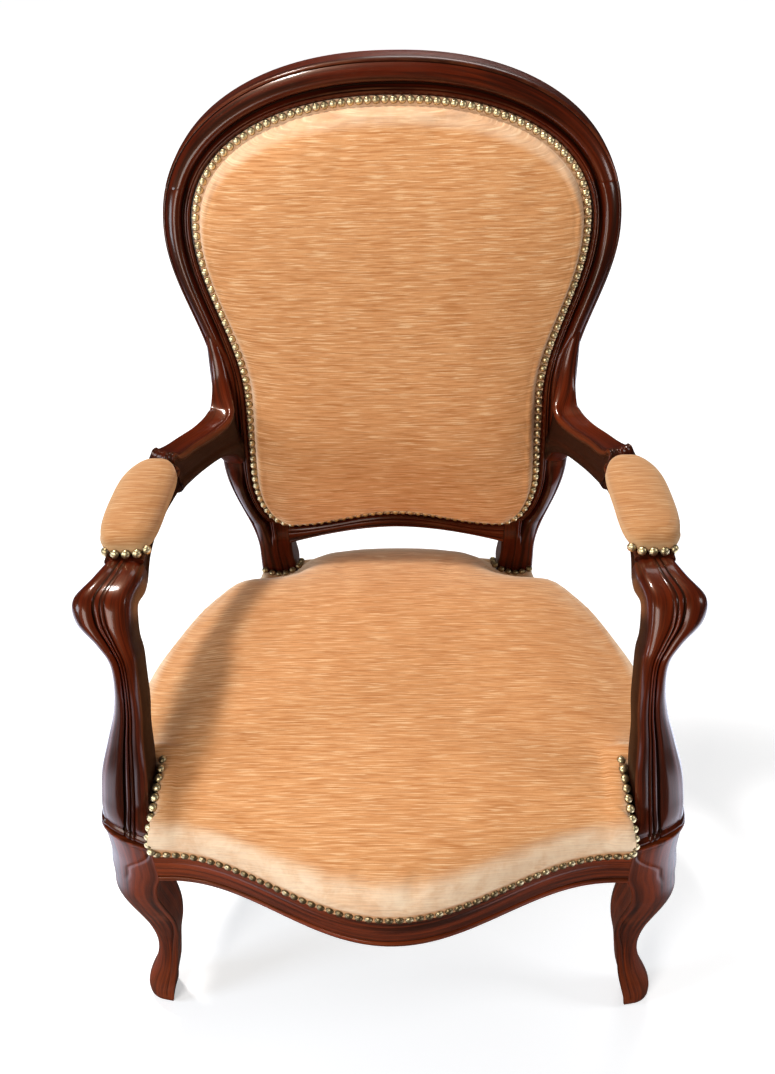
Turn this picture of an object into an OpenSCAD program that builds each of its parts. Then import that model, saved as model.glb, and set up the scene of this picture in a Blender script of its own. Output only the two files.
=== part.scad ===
// Open armchair with a balloon back: moulded mahogany frame, sprung seat,
// padded back and arm pads, close-nailed velvet. Sizes are millimetres.
// X runs to the viewer's right, Y to the back, Z up. The origin is on the
// floor under the middle of the chair.

/* [Back] */
// Height of the crest above the floor
overall_h = 995; // [960:1:1030]
// Distance from the top of the crest down to where the back is widest
balloon_drop = 170; // [150:1:190]
// Width of the back at its widest
balloon_w = 546; // [520:1:570]
// Height of the waist of the back, just above the arms
waist_z = 640; // [625:1:660]
// Width of the back at its waist
waist_w = 442; // [430:1:460]
// Height of the joints of the crest rail above the widest place
crest_joint_up = 41; // [25:1:60]
// Lean of the upper back from upright, in degrees
back_rake = 21; // [15:0.5:25]
// Front-to-back thickness of the back frame
frame_t = 36; // [32:1:42]
// Visible width of the moulding at the sides of the back
frame_w = 33; // [30:1:40]
// Visible width of the moulding at the top of the crest
crest_w = 36; // [32:1:42]
// Width of the tacking ledge that the padding hides
ledge_w = 24; // [20:1:28]
// Depth of the tacking ledge below the face
ledge_drop = 5; // [4:0.5:7]
// How far the large rounded moulding stands proud
mould_h = 5; // [3:0.5:7]
// Height of the arched lower back rail above the seat rails
gap_under_back = 50; // [40:1:60]

/* [Seat frame] */
// Height of the top of the seat rails
rail_top = 368; // [350:1:385]
// Height of the seat rails
rail_h = 54; // [50:1:60]
// Thickness of the seat rails
rail_t = 28; // [24:1:32]
// Distance from the middle of the chair to the front rail beside the legs
front_side_y = 287; // [275:1:300]
// How far the front rail bows forward at its middle
front_bow = 76; // [60:1:90]
// Distance from the middle of the chair forward face of the uprights
seat_back_y = 166; // [150:1:180]
// Half width of the seat frame in front
seat_half_w = 303; // [295:1:312]
// How much lower the rear rail's top is than the others
rear_rail_drop = 12; // [0:1:16]
// Length of the rail tenons
tenon_l = 22; // [16:1:26]
// Thickness of the rail tenons
tenon_t = 11; // [8:1:12]
// Clearance round tenons, dowels and pins
fit_gap = 0.2; // [0.1:0.05:0.4]

/* [Legs and arms] */
// Half distance between the outer faces of the uprights at the seat
stile_base = 186; // [178:1:194]
// Width of the uprights at the seat
stile_w = 48; // [42:1:52]
// Backward sweep of the rear legs at the floor
leg_sweep = 118; // [90:1:135]
// Width and depth of the rear feet
rear_foot = 31; // [27:1:36]
// Height of the flat of the arms under the pads
arm_z = 637; // [622:1:650]
// Thickness of the arms under the pads
arm_t = 32; // [26:1:38]
// Half width of the arms under the pads
arm_half_w = 20; // [17:1:22]
// Length of the arm pads
pad_l = 152; // [135:1:170]
// Height of the arm pads above the wood
pad_h = 31; // [24:1:38]
// Half width of the arm pads
pad_half_w = 30; // [26:1:33]

/* [Upholstery] */
// Height of the crown of the seat above the rails
seat_crown = 66; // [50:1:76]
// Height of the crown of the back pad in front of the frame
back_crown = 29; // [20:1:36]
// Thickness of the velvet with its lining
cover_t = 1.8; // [1.2:0.1:2.5]
// Clearance between soft pieces and their neighbours
soft_gap = 0.3; // [0.2:0.05:0.5]
// Diameter of the nail heads on the back and seat
nail_d = 9.6; // [8:0.2:11]
// Distance between the nails
nail_pitch = 10.4; // [10.2:0.1:14]
// Number of full turns in each spring
spring_turns = 4; // [3:1:5]
// Diameter of the spring wire
wire_d = 3.6; // [3:0.1:4.5]
// Diameter of the springs at their ends
spring_d = 84; // [70:1:90]

/* [Hidden] */
wood = "#5a1f14";
velvet = "#dca36a";
brass = "#c2a35a";
canvas = "#b49a70";
steel = "#9a9a9c";
round_fn = 24;

// Curve helpers
function mix(a, b, t) = a + (b - a) * t;
function clamp(t) = min(1, max(0, t));
// Rises from 0 to 1 along half a cosine wave between a and b
function ease(a, b, t) = (1 - cos(180 * clamp((t - a) / (b - a)))) / 2;
function steps(a, b, n) = [for (i = [0:n - 1]) a + (b - a) * i / n];
function slope(rows, i) = let (a = max(0, i - 1), b = min(len(rows) - 1, i + 1))
    (rows[b] - rows[a]) / (rows[b][0] - rows[a][0]);
function span(rows, s, i = 0) = i >= len(rows) - 2 || s < rows[i + 1][0] ? i : span(rows, s, i + 1);
// Smooth curve through rows of [position, values...], read at position s
function along(rows, s) =
    let (i = span(rows, s), w = rows[i + 1][0] - rows[i][0], u = (s - rows[i][0]) / w)
    rows[i] * (2 * u * u * u - 3 * u * u + 1) + slope(rows, i) * w * (u * u * u - 2 * u * u + u)
    + rows[i + 1] * (3 * u * u - 2 * u * u * u) + slope(rows, i + 1) * w * (u * u * u - u * u);
function sum(list, i = 0) = i == len(list) - 1 ? list[i] : list[i] + sum(list, i + 1);
function middle(ring) = sum(ring) / len(ring);
// A right half from the first to the last point on the middle line, made whole
function both_sides(half) = concat(half, [for (i = [len(half) - 2:-1:1])
    [-half[i][0], each [for (k = [1:len(half[i]) - 1]) half[i][k]]]]);
// Places along a path, one each pitch, with the rounding spread evenly
function cumulate(path, i = 1, total = 0) = i >= len(path) ? [total]
    : concat([total], cumulate(path, i + 1, total + norm(path[i] - path[i - 1])));
function find(list, v, i = 0) = i >= len(list) - 2 || v < list[i + 1] ? i : find(list, v, i + 1);
function walk(path, pitch, closed) =
    let (run = closed ? concat(path, [path[0]]) : path, at = cumulate(run), total = at[len(at) - 1],
        n = round(total / pitch))
    [for (k = [0:closed ? n - 1 : n]) let (v = total * k / n, i = find(at, v))
        mix(run[i], run[i + 1], clamp((v - at[i]) / (at[i + 1] - at[i])))];

function turned(ring) = [for (i = [len(ring) - 1:-1:0]) ring[i]];
// Skins a stack of rings, each run counter-clockwise about the direction of the stack.
// Each four-sided patch is split along its shorter diagonal, so that parallel skins agree.
// A first ring that isn't flat is closed by strips across it, from point 0 and point 1 on.
module skin(rings, curved_foot = false) {
    n = len(rings[0]);
    m = len(rings);
    points = concat([for (r = rings) each r], [middle(rings[m - 1])], curved_foot ? [] : [middle(rings[0])]);
    sides = [for (k = [0:m - 2]) for (i = [0:n - 1])
        let (a = k * n + i, b = k * n + (i + 1) % n, c = b + n, d = a + n,
            first = norm(points[a] - points[c]) < norm(points[b] - points[d]))
        each first ? [[a, c, b], [a, d, c]] : [[a, d, b], [b, d, c]]];
    fan = [for (i = [0:n - 1]) [m * n + 1, i, (i + 1) % n]];
    strips = [for (i = [0:n / 2 - 2]) let (a = (n - i) % n, b = n - i - 1)
        each [[a, i + 1, i + 2], [a, i + 2, b]]];
    head = [for (i = [0:n - 1]) [m * n, (m - 1) * n + (i + 1) % n, (m - 1) * n + i]];
    polyhedron(points = points, faces = concat(sides, curved_foot ? strips : fan, head), convexity = 8);
}

module pin(from, to, d) {
    run = to - from;
    translate(from)
        rotate([0, acos(run[2] / norm(run)), atan2(run[1], run[0])])
            cylinder(h = norm(run), d = d, $fn = round_fn);
}

module box_between(a, b) {
    translate(a) cube(b - a);
}

module right() {
    children();
}

module left() {
    mirror([1, 0, 0]) children();
}

balloon_z = overall_h - balloon_drop;
crest_joint_z = balloon_z + crest_joint_up;
// Side profile of the back: upright at the seat, bending to an even lean
bend_z = rail_top + 20;
bend_l = 350;
lean = tan(back_rake);
function back_y(z) = let (t = z - bend_z)
    z < rail_top ? seat_back_y + leg_sweep * pow(1 - z / rail_top, 1.6)
    : t <= 0 ? seat_back_y
    : t < bend_l ? seat_back_y + lean * (t / 2 - bend_l / 2 / PI * sin(180 * t / bend_l))
    : seat_back_y + lean * (t - bend_l / 2);

// Front outline of the back: half width of its outer edge at height z
round_power = 2.2;
flare_z0 = rail_top + 38;
flare_z1 = waist_z - 88;
foot_splay = 10;
function bow(a, b, x) = b * pow(1 - pow(clamp(abs(x) / a), round_power), 1 / round_power);
function outer_x(z) =
    z > balloon_z ? bow(overall_h - balloon_z, balloon_w / 2, z - balloon_z)
    : z > waist_z ? mix(waist_w, balloon_w, ease(waist_z, balloon_z, z)) / 2
    : z > rail_top ? mix(stile_base, waist_w / 2, ease(flare_z0, flare_z1, z))
    : stile_base + foot_splay * pow(1 - z / rail_top, 1.6);

// Nail line round the padded panel of the back
nail_in = 6.2;
panel_top = overall_h - crest_w - nail_in;
panel_wide = balloon_w / 2 - frame_w - nail_in;
panel_waist = waist_w / 2 - frame_w - nail_in;
corner_a = 41;
corner_b = 74;
panel_low = rail_top + 83;
panel_arch = 19;
corner_x = panel_waist - corner_a;
corner_z = panel_low + corner_b;
function panel_x(z) =
    z > balloon_z ? bow(panel_top - balloon_z, panel_wide, z - balloon_z)
    : z > corner_z ? mix(panel_waist, panel_wide, ease(waist_z - 15, balloon_z, z))
    : corner_x + corner_a * sqrt(1 - pow(clamp((corner_z - z) / corner_b), 2));
function panel_z(x) = panel_low + panel_arch * (1 + cos(180 * clamp(abs(x) / corner_x))) / 2;
function panel_half() = concat(
    [for (x = steps(0, corner_x, 4)) [x, panel_z(x)]],
    [for (t = steps(0, 90, 5)) [corner_x + corner_a * sin(t), corner_z - corner_b * cos(t)]],
    [for (z = steps(corner_z, balloon_z, 8)) [panel_x(z), z]],
    [for (t = [0:12.857:90.01]) let (c = pow(cos(t), 2 / round_power), s = pow(sin(t), 2 / round_power))
        [t > 90 - 1 ? 0 : panel_wide * c, balloon_z + (panel_top - balloon_z) * s]]);
panel_mid = [0, (panel_top + panel_low) / 2];
// The nail line grown by out, or drawn in by a negative out, then shrunk to its middle
function panel_ring(out, depth, shrink = 1) = [for (p = both_sides(panel_half()))
    let (v = p - panel_mid, q = panel_mid + v * shrink * (1 + out / norm(v)))
    [q[0], back_y(q[1]) + depth, q[1]]];

// Cross-section of the moulded back frame as [across, depth], where across runs inward
// from the outer edge. lift scales the large moulding, bead the inner beads and the ledge.
function frame_section(w, ledge, t, lift, bead) = [
    [2, t], [0, t - 4], [0, 5], [1.5, 1.5], [0.10 * w, 0],
    [0.17 * w, 2 * lift], [0.29 * w, -0.6 * mould_h * lift], [0.45 * w, -mould_h * lift],
    [0.61 * w, -0.5 * mould_h * lift], [0.69 * w, 3 * lift], [0.76 * w, 2.4 * bead],
    [0.82 * w, -0.6 * bead * lift], [0.93 * w, -0.6 * bead * lift], [w, 1],
    [w + 0.4, 1 + (ledge_drop - 1) * bead], [w + ledge, 1 + (ledge_drop - 1) * bead],
    [w + ledge, t - 1], [w + ledge - 1, t]];

// Uprights, each one piece with its rear leg
seat_leg_t = 42;
joint_x = corner_x + 1;
rail_joint_top = panel_low + 20;
arm_root_z0 = waist_z - 97;
arm_root_z1 = waist_z - 23;
arm_tongue_z = waist_z + 28;
bead_z0 = rail_top + 54;
bead_z1 = panel_low - 10;
glide_h = 3;
function stile_t(z) = z < rail_top ? mix(rear_foot, seat_leg_t, z / rail_top)
    : mix(seat_leg_t, frame_t, ease(rail_top, panel_low - 8, z));
function stile_inner(z) =
    z < rail_top ? outer_x(z) - mix(rear_foot, stile_w, z / rail_top)
    : z < rail_joint_top + 2 ? mix(stile_base - stile_w, joint_x, ease(rail_top, rail_top + 40, z))
    : panel_x(z) + nail_in - ledge_w;
function stile_bead(z) = max(stile_inner(z) + ledge_w * 0.8, panel_x(z) + nail_in);
function stile_lift(z) = ease(rail_top + 40, rail_top + 90, z)
    * (1 - ease(arm_root_z0 - 30, arm_root_z0, z) * (1 - ease(arm_tongue_z, arm_tongue_z + 30, z)));
function stile_ring(z) = let (x = outer_x(z), xb = stile_bead(z), xi = stile_inner(z), y = back_y(z))
    [for (p = frame_section(x - xb, xb - xi, stile_t(z), stile_lift(z), ease(bead_z0, bead_z1, z)))
        [x - p[0], y + p[1], z]];
stile_levels = concat([glide_h], steps(15, rail_top - rail_h, 5), steps(rail_top - rail_h, rail_top + 32, 4),
    steps(rail_top + 32, rail_joint_top, 5), steps(rail_joint_top, rail_joint_top + 10, 1),
    steps(rail_joint_top + 10, arm_root_z0, 4), steps(arm_root_z0, arm_tongue_z, 4),
    steps(arm_tongue_z, balloon_z, 8), steps(balloon_z, crest_joint_z, 2), [crest_joint_z]);

dowel_d = 8;
dowel_l = 40;
function crest_dowel_x(k) = outer_x(crest_joint_z) - frame_w * (k == 0 ? 0.42 : 1.15);
crest_dowel_y = back_y(crest_joint_z) + frame_t * 0.55;
module crest_dowel_pair(extra) {
    for (k = [0:1])
        pin([crest_dowel_x(k), crest_dowel_y, crest_joint_z - dowel_l / 2 - extra],
            [crest_dowel_x(k), crest_dowel_y, crest_joint_z + dowel_l / 2 + extra], dowel_d + extra);
}

arm_screw_z = (arm_root_z0 + arm_root_z1) / 2;
arm_screw_x = waist_w / 2 - 17;
arm_screw_d = 5;
arm_screw_head = 10;
arm_screw_l = 62;
screw_back = back_y(arm_screw_z) + stile_t(arm_screw_z);
module arm_screw(extra) {
    pin([arm_screw_x, screw_back, arm_screw_z], [arm_screw_x, screw_back - arm_screw_l - extra, arm_screw_z],
        arm_screw_d + extra);
    translate([arm_screw_x, screw_back, arm_screw_z])
        rotate([90, 0, 0])
            cylinder(h = 3, d1 = arm_screw_head + extra, d2 = arm_screw_d + extra, $fn = round_fn);
}

tenon_z0 = rail_top - rail_h + 8;
tenon_z1 = tenon_z0 + rail_h * 0.46;
rear_rail_y0 = seat_back_y + 6;
rear_rail_y1 = rear_rail_y0 + rail_t - 3;
side_tenon_x = stile_base - stile_w / 2 + 1;
module rear_tenon(gap) {
    x = stile_base - stile_w;
    y = rear_rail_y1 - 3 - tenon_t;
    box_between([x - 2, y - gap, tenon_z0 - gap], [x + tenon_l - 4 + gap, y + tenon_t + gap, tenon_z1 + gap]);
}
module side_rear_tenon(gap) {
    box_between([side_tenon_x - tenon_t / 2 - gap, seat_back_y - 2, tenon_z0 - gap],
        [side_tenon_x + tenon_t / 2 + gap, seat_back_y + tenon_l - 3 + gap, tenon_z1 + gap]);
}
lower_tenon_z = rail_top + 62;
module lower_rail_tenon(gap) {
    y = back_y(lower_tenon_z) + stile_t(lower_tenon_z) / 2 - 1;
    box_between([joint_x - 2, y - tenon_t / 2 - gap, lower_tenon_z - 9 - gap],
        [joint_x + tenon_l - 4 + gap, y + tenon_t / 2 + gap, lower_tenon_z + 13 + gap]);
}
glide_pin_d = 3;
glide_pin_l = 12;
rear_glide = [outer_x(0) - rear_foot / 2, back_y(0) + rear_foot / 2];
module glide_pin(at, gap) {
    pin([at[0], at[1], glide_h - 1], [at[0], at[1], glide_h + glide_pin_l + gap], glide_pin_d + gap);
}

module rear_leg() {
    difference() {
        skin([for (z = stile_levels) turned(stile_ring(z))]);
        crest_dowel_pair(fit_gap);
        arm_screw(fit_gap);
        rear_tenon(fit_gap);
        side_rear_tenon(fit_gap);
        lower_rail_tenon(fit_gap);
        glide_pin(rear_glide, fit_gap);
    }
}
module rear_leg_left() { color(wood) left() rear_leg(); }
module rear_leg_right() { color(wood) right() rear_leg(); }

// Crest rail, bent over the top from joint to joint
function outer_at(t) = [balloon_w / 2 * pow(cos(t), 2 / round_power),
    balloon_z + (overall_h - balloon_z) * pow(sin(t), 2 / round_power)];
function panel_at(t) = [panel_wide * pow(cos(t), 2 / round_power),
    balloon_z + (panel_top - balloon_z) * pow(sin(t), 2 / round_power)];
// Angle at which an arc of height h reaches the joint
function joint_angle(h) = asin(pow((crest_joint_z - balloon_z) / h, round_power / 2));
function crest_half_ring(s) =
    let (a = outer_at(mix(joint_angle(overall_h - balloon_z), 90, s)),
        b = panel_at(mix(joint_angle(panel_top - balloon_z), 90, s)), v = (b - a) / norm(b - a),
        w = norm(b - a) - nail_in, y = frame_section(w, ledge_w, frame_t, 1, 1))
    [for (p = y) let (q = a + v * p[0]) [q[0], back_y(q[1]) + p[1], q[1]]];
crest_steps = 15;
module crest_rail() {
    flip = [for (k = [0:crest_steps]) crest_half_ring(k / crest_steps)];
    rings = concat(flip, [for (k = [crest_steps - 1:-1:0]) [for (p = flip[k]) [-p[0], p[1], p[2]]]]);
    color(wood)
        difference() {
            skin([for (r = rings) turned(r)]);
            right() crest_dowel_pair(fit_gap);
            left() crest_dowel_pair(fit_gap);
        }
}

// Arched lower back rail with tenons into the uprights
rail_low_z = rail_top + gap_under_back;
rail_low_arch = 27;
function lower_edge(x) = rail_low_z + rail_low_arch * (1 - pow(abs(x) / joint_x, 1.8));
// Cross-section of the rail as [up from its lower edge, depth], for a face of width w
function lower_rail_section(w) = let (top = w + ledge_w - nail_in) [
    [2, frame_t - 2], [0, frame_t - 6], [0, 5], [1.5, 1], [0.16 * w, 0], [0.26 * w, 1.6],
    [0.40 * w, -0.4], [0.66 * w, -1], [0.74 * w, 1.6], [0.82 * w, -0.6], [w, 0.6],
    [w + 0.4, ledge_drop], [top, ledge_drop], [top, frame_t - 3], [top - 2, frame_t - 2]];
function lower_rail_ring(x) = let (a = lower_edge(x), w = panel_z(x) - nail_in - a)
    [for (p = lower_rail_section(w)) [x, back_y(a + p[0]) + p[1], a + p[0]]];
module back_lower_rail() {
    n = 14;
    color(wood)
        union() {
            skin([for (k = [0:n]) lower_rail_ring(mix(joint_x, -joint_x, k / n))]);
            right() lower_rail_tenon(0);
            left() lower_rail_tenon(0);
        }
}

// Front legs: cabriole, each leg one row of [height, x, y, half width, half depth]
block_in = seat_half_w - 50;
leg_x = seat_half_w - 22;
leg_y = front_side_y - 36;
leg_rows = [
    [glide_h, leg_x + 23, -leg_y + 13, 14.5, 15],
    [12, leg_x + 22.5, -leg_y + 13, 17, 17.5],
    [28, leg_x + 21, -leg_y + 13, 17.8, 17.5],
    [50, leg_x + 15, -leg_y + 11.5, 17, 16.5],
    [75, leg_x + 7, -leg_y + 13, 14.7, 14.5],
    [100, leg_x + 2.5, -leg_y + 16.5, 13.5, 13],
    [122, leg_x + 1, -leg_y + 19, 14.7, 13.2],
    [150, leg_x + 1, -leg_y + 20.5, 20, 16],
    [175, leg_x + 4, -leg_y + 20.5, 25, 19],
    [205, leg_x + 7.5, -leg_y + 16.5, 28, 22],
    [235, leg_x + 10.5, -leg_y + 11.5, 28.3, 24],
    [262, leg_x + 10.5, -leg_y + 6, 27, 25],
    [290, leg_x + 6.5, -leg_y + 2, 26.5, 25.5],
    [rail_top - rail_h, leg_x + 1.5, -leg_y + 0.5, 29.5, 26.5],
    [rail_top - 30, leg_x - 0.5, -leg_y, 27.8, 27],
    [rail_top - 9, leg_x, -leg_y + 0.5, 28, 27],
    [rail_top - 2, leg_x + 0.7, -leg_y, 29.3, 28],
    [rail_top, leg_x + 0.5, -leg_y + 0.5, 28.8, 27.5]];
leg_section = [[-1, -1.3], [-0.4, -1.22], [0.15, -1.08], [0.62, -0.82], [0.92, -0.42],
    [1, 0.1], [0.97, 0.55], [0.86, 0.84], [0.5, 1], [-0.3, 1], [-0.78, 0.96], [-1, 0.7],
    [-0.97, 0], [-0.96, -0.7]];
// Slope of the joint between leg and arm support, higher outside than inside
collar_slope = 0.3;
function collar_lift(z) = ease(rail_top - 30, rail_top - 6, z);
function leg_ring(z) = let (r = along(leg_rows, z), lift = collar_lift(z) * collar_slope)
    [for (p = leg_section) let (x = r[1] + r[3] * p[0])
        [x, r[2] + r[4] * p[1], z + lift * max(0, x - block_in)]];
leg_levels = concat([glide_h, 7], steps(12, 90, 5), steps(90, rail_top - rail_h, 10),
    [rail_top - rail_h], [for (d = [30, 18, 9, 5, 2, 0]) rail_top - d]);
front_glide = [leg_rows[0][1], leg_rows[0][2]];
collar_dowel_d = 10;
module collar_dowel(extra) {
    pin([leg_x, -leg_y + 2, rail_top - 16 - extra], [leg_x, -leg_y + 2, rail_top + 30 + extra],
        collar_dowel_d + extra);
}
// The bow dies out just before the legs
function front_y(x) = -front_side_y - front_bow / 2 * (1 + cos(180 * clamp(abs(x) / (block_in - 13))));
module front_tenon(gap) {
    y = -front_side_y + rail_t / 2 + 1;
    box_between([block_in - 2, y - tenon_t / 2 - gap, tenon_z0 - gap],
        [block_in + tenon_l - 3 + gap, y + tenon_t / 2 + gap, tenon_z1 + gap]);
}
side_front_y = -leg_y + 28;
module side_front_tenon(gap) {
    x = seat_half_w - rail_t / 2;
    box_between([x - tenon_t / 2 - gap, side_front_y - tenon_l + 2 - gap, tenon_z0 - gap],
        [x + tenon_t / 2 + gap, side_front_y + 2, tenon_z1 + gap]);
}
module front_leg() {
    difference() {
        skin([for (z = leg_levels) leg_ring(z)]);
        collar_dowel(fit_gap);
        front_tenon(fit_gap);
        side_front_tenon(fit_gap);
        glide_pin(front_glide, fit_gap);
        // Flat shoulders for the two rails
        box_between([block_in - 20, -front_side_y - 20, rail_top - rail_h - 1], [block_in, 0, rail_top + 1]);
        box_between([block_in - 20, side_front_y, rail_top - rail_h - 1], [block_in + 80, 0, rail_top + 1]);
    }
}
module front_leg_left() { color(wood) left() front_leg(); }
module front_leg_right() { color(wood) right() front_leg(); }

// Arm supports: rows of [station, x, y, z, half width, half depth, tilt of the section]
arm_end_y = -130;
arm_end_x = leg_x - 18;
support_rows = [
    [0, arm_end_x, arm_end_y, arm_z - arm_t / 2, arm_half_w + 1, arm_t / 2, 90],
    [1, leg_x - 13, arm_end_y - 20, arm_z - 16, 26, 19, 72],
    [2, leg_x - 3, arm_end_y - 41, arm_z - 20, 32, 21, 50],
    [3, leg_x - 4.5, arm_end_y - 54, arm_z - 34, 29.5, 21.5, 33],
    [4, leg_x - 13.5, arm_end_y - 65, arm_z - 50, 20.5, 20.5, 22],
    [5, leg_x - 19.5, arm_end_y - 73, arm_z - 65, 15.2, 20, 16],
    [6, leg_x - 21, arm_end_y - 82, arm_z - 90, 14.5, 20, 12],
    [7, leg_x - 18.5, arm_end_y - 89, arm_z - 120, 16.7, 20.5, 10],
    [8, leg_x - 12.5, arm_end_y - 96, mix(rail_top, arm_z, 0.44), 20.2, 21.5, 8],
    [9, leg_x - 7, -leg_y + 16, mix(rail_top, arm_z, 0.31), 25.5, 23, 7],
    [10, leg_x - 3, -leg_y + 11, mix(rail_top, arm_z, 0.19), 27, 24.5, 5],
    [11, leg_x - 1.5, -leg_y + 6, mix(rail_top, arm_z, 0.1), 27, 25.5, 3],
    [12, leg_x - 1.2, -leg_y + 2, rail_top + 2 * soft_gap, 26, 26, 0]];
support_section = [[-0.75, -1], [0.72, -1], [0.94, -0.82], [1, -0.4], [1, 0.3], [0.87, 0.68],
    [0.64, 0.9], [0.36, 0.99], [0.1, 0.94], [0, 0.78], [-0.1, 0.97], [-0.22, 0.97], [-0.28, 0.86],
    [-0.36, 0.97], [-0.5, 0.96], [-0.58, 0.86], [-0.94, 0.84], [-1, 0.5], [-1, -0.7]];
support_last = 12;
function support_ring(s) = let (r = along(support_rows, s),
    lift = collar_slope * ease(support_last - 1.6, support_last, s))
    [for (p = support_section) let (x = r[1] + r[4] * p[0])
        [x, r[2] - r[5] * p[1] * cos(r[6]), r[3] + r[5] * p[1] * sin(r[6]) + lift * max(0, x - block_in)]];
module arm_end_dowel(extra) {
    z = arm_z - arm_t / 2;
    pin([arm_end_x, arm_end_y - 18 - extra, z], [arm_end_x, arm_end_y + 22 + extra, z],
        collar_dowel_d + extra);
}
support_steps = 28;
module arm_support() {
    difference() {
        skin([for (k = [0:support_steps]) support_ring(support_last * k / support_steps)]);
        collar_dowel(fit_gap);
        arm_end_dowel(fit_gap);
    }
}
module arm_support_left() { color(wood) left() arm_support(); }
module arm_support_right() { color(wood) right() arm_support(); }

// Arms, each between a lower and an upper line: rows of
// [distance, lower x, y, z, half width there, upper x, y, z, half width there].
// The upper line starts on the upright as a tongue that its large moulding runs into.
root_gap = 0.8;
pad_rear_y = arm_end_y + 4 + pad_l;
arm_low_z = arm_z - arm_t;
function level_row(s, x, y, low, high, half_w) = [s, x, y, low, half_w, x, y, high, half_w];
arm_rows = [
    [0, arm_screw_x, back_y(arm_root_z0), arm_root_z0, 17,
        arm_screw_x + 7.5, back_y(arm_tongue_z), arm_tongue_z, 8],
    [0.3, arm_screw_x + 1, back_y(arm_root_z0) - 4, arm_root_z0 + 4, 17,
        arm_screw_x + 7, back_y(arm_tongue_z) - 11, arm_tongue_z - 14, 9],
    [0.6, arm_screw_x + 2, back_y(arm_root_z0) - 8, arm_root_z0 + 11, 16.5,
        arm_screw_x + 6.5, back_y(arm_tongue_z) - 25, arm_tongue_z - 28, 11.5],
    [1, arm_screw_x + 5, back_y(arm_root_z0) - 17, arm_root_z0 + 27, 16,
        arm_screw_x + 6, back_y(arm_tongue_z) - 48, arm_tongue_z - 39, 15.5],
    level_row(2, arm_screw_x + 17, back_y(arm_root_z0) - 46, arm_low_z - 19, arm_z - 2, 15),
    level_row(3, leg_x - 44, mix(back_y(arm_root_z0), pad_rear_y, 0.615), arm_low_z - 9, arm_z + 7, 15),
    level_row(4, leg_x - 31, pad_rear_y + 20, arm_low_z - 3, arm_z + 16, 17.5),
    level_row(5, leg_x - 27, pad_rear_y + 11, arm_low_z - 2, arm_z + 19, 19),
    level_row(6, leg_x - 25, pad_rear_y + 5, arm_low_z - 1, arm_z + 17, 19.5),
    level_row(7, leg_x - 23.5, pad_rear_y + 1, arm_low_z, arm_z, arm_half_w),
    level_row(8, leg_x - 19, mix(pad_rear_y, arm_end_y, 0.246), arm_low_z, arm_z, arm_half_w),
    level_row(9, leg_x - 17, mix(pad_rear_y, arm_end_y, 0.488), arm_low_z, arm_z, arm_half_w),
    level_row(10, leg_x - 16.5, mix(pad_rear_y, arm_end_y, 0.744), arm_low_z, arm_z, arm_half_w),
    level_row(11, arm_end_x, arm_end_y, arm_low_z, arm_z, arm_half_w + 1)];
arm_section = [[-0.6, -1], [0.6, -1], [0.95, -0.72], [0.85, -0.5], [1, -0.3], [1, 0.1], [1, 0.5],
    [0.78, 0.92], [0.4, 1], [-0.4, 1], [-0.78, 0.92], [-1, 0.5], [-1, 0.1], [-1, -0.3],
    [-0.85, -0.5], [-0.95, -0.72]];
function arm_ring(s) = let (r = along(arm_rows, s))
    [for (p = arm_section) let (up = (p[1] + 1) / 2, z = mix(r[3], r[7], up), y = mix(r[2], r[6], up))
        [mix(r[1], r[5], up) + mix(r[4], r[8], up) * p[0],
            s == 0 ? back_y(z) - root_gap : s < 2 ? min(y, back_y(z) - root_gap) : y, z]];
arm_stations = concat([0, 0.2, 0.4, 0.7, 1, 1.5], steps(2, 4, 3), [4, 4.6, 5, 5.5, 6.2, 7],
    steps(8, 11, 3), [11]);
module arm() {
    difference() {
        skin([for (s = arm_stations) arm_ring(s)], curved_foot = true);
        arm_end_dowel(fit_gap);
        arm_screw(fit_gap);
    }
}
module arm_left() { color(wood) left() arm(); }
module arm_right() { color(wood) right() arm(); }

// Seat rails, shaped in plan
// Rows of [y, share of the way in from the front corner to the upright]
side_shares = [[side_front_y, 0], [-165, 0.004], [-105, 0.042], [-46, 0.126], [0, 0.26],
    [52, 0.445], [79, 0.588], [108, 0.765], [140, 1], [seat_back_y, 1.05]];
side_rows = [for (r = side_shares) [r[0], mix(seat_half_w, stile_base - 2, r[1])]];
function side_x(y) = along(side_rows, y)[1];
side_curve = concat(steps(side_front_y, 60, 8), steps(60, seat_back_y, 6), [seat_back_y]);
front_curve = concat(steps(0, block_in, 12), [block_in]);
bead_h = 7;
bead_out = 2;
module rail_body(outline_out, outline_in) {
    linear_extrude(height = rail_h) polygon(concat(outline_out, outline_in));
}
module seat_rail_front() {
    xs = concat([for (i = [len(front_curve) - 1:-1:1]) -front_curve[i]], front_curve);
    color(wood)
        difference() {
            union() {
                translate([0, 0, rail_top - rail_h])
                    rail_body([for (x = xs) [x, front_y(x)]],
                        [for (i = [len(xs) - 1:-1:0]) [xs[i], front_y(xs[i]) + rail_t]]);
                // Bead along the foot of the rail
                translate([0, 0, rail_top - rail_h])
                    linear_extrude(height = bead_h)
                        polygon(concat([for (x = xs) [x, front_y(x) - bead_out]],
                            [for (i = [len(xs) - 1:-1:0]) [xs[i], front_y(xs[i]) + 2]]));
                right() front_tenon(0);
                left() front_tenon(0);
            }
            right() block_screw(front_screw, fit_gap);
            left() block_screw(front_screw, fit_gap);
        }
}
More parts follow.
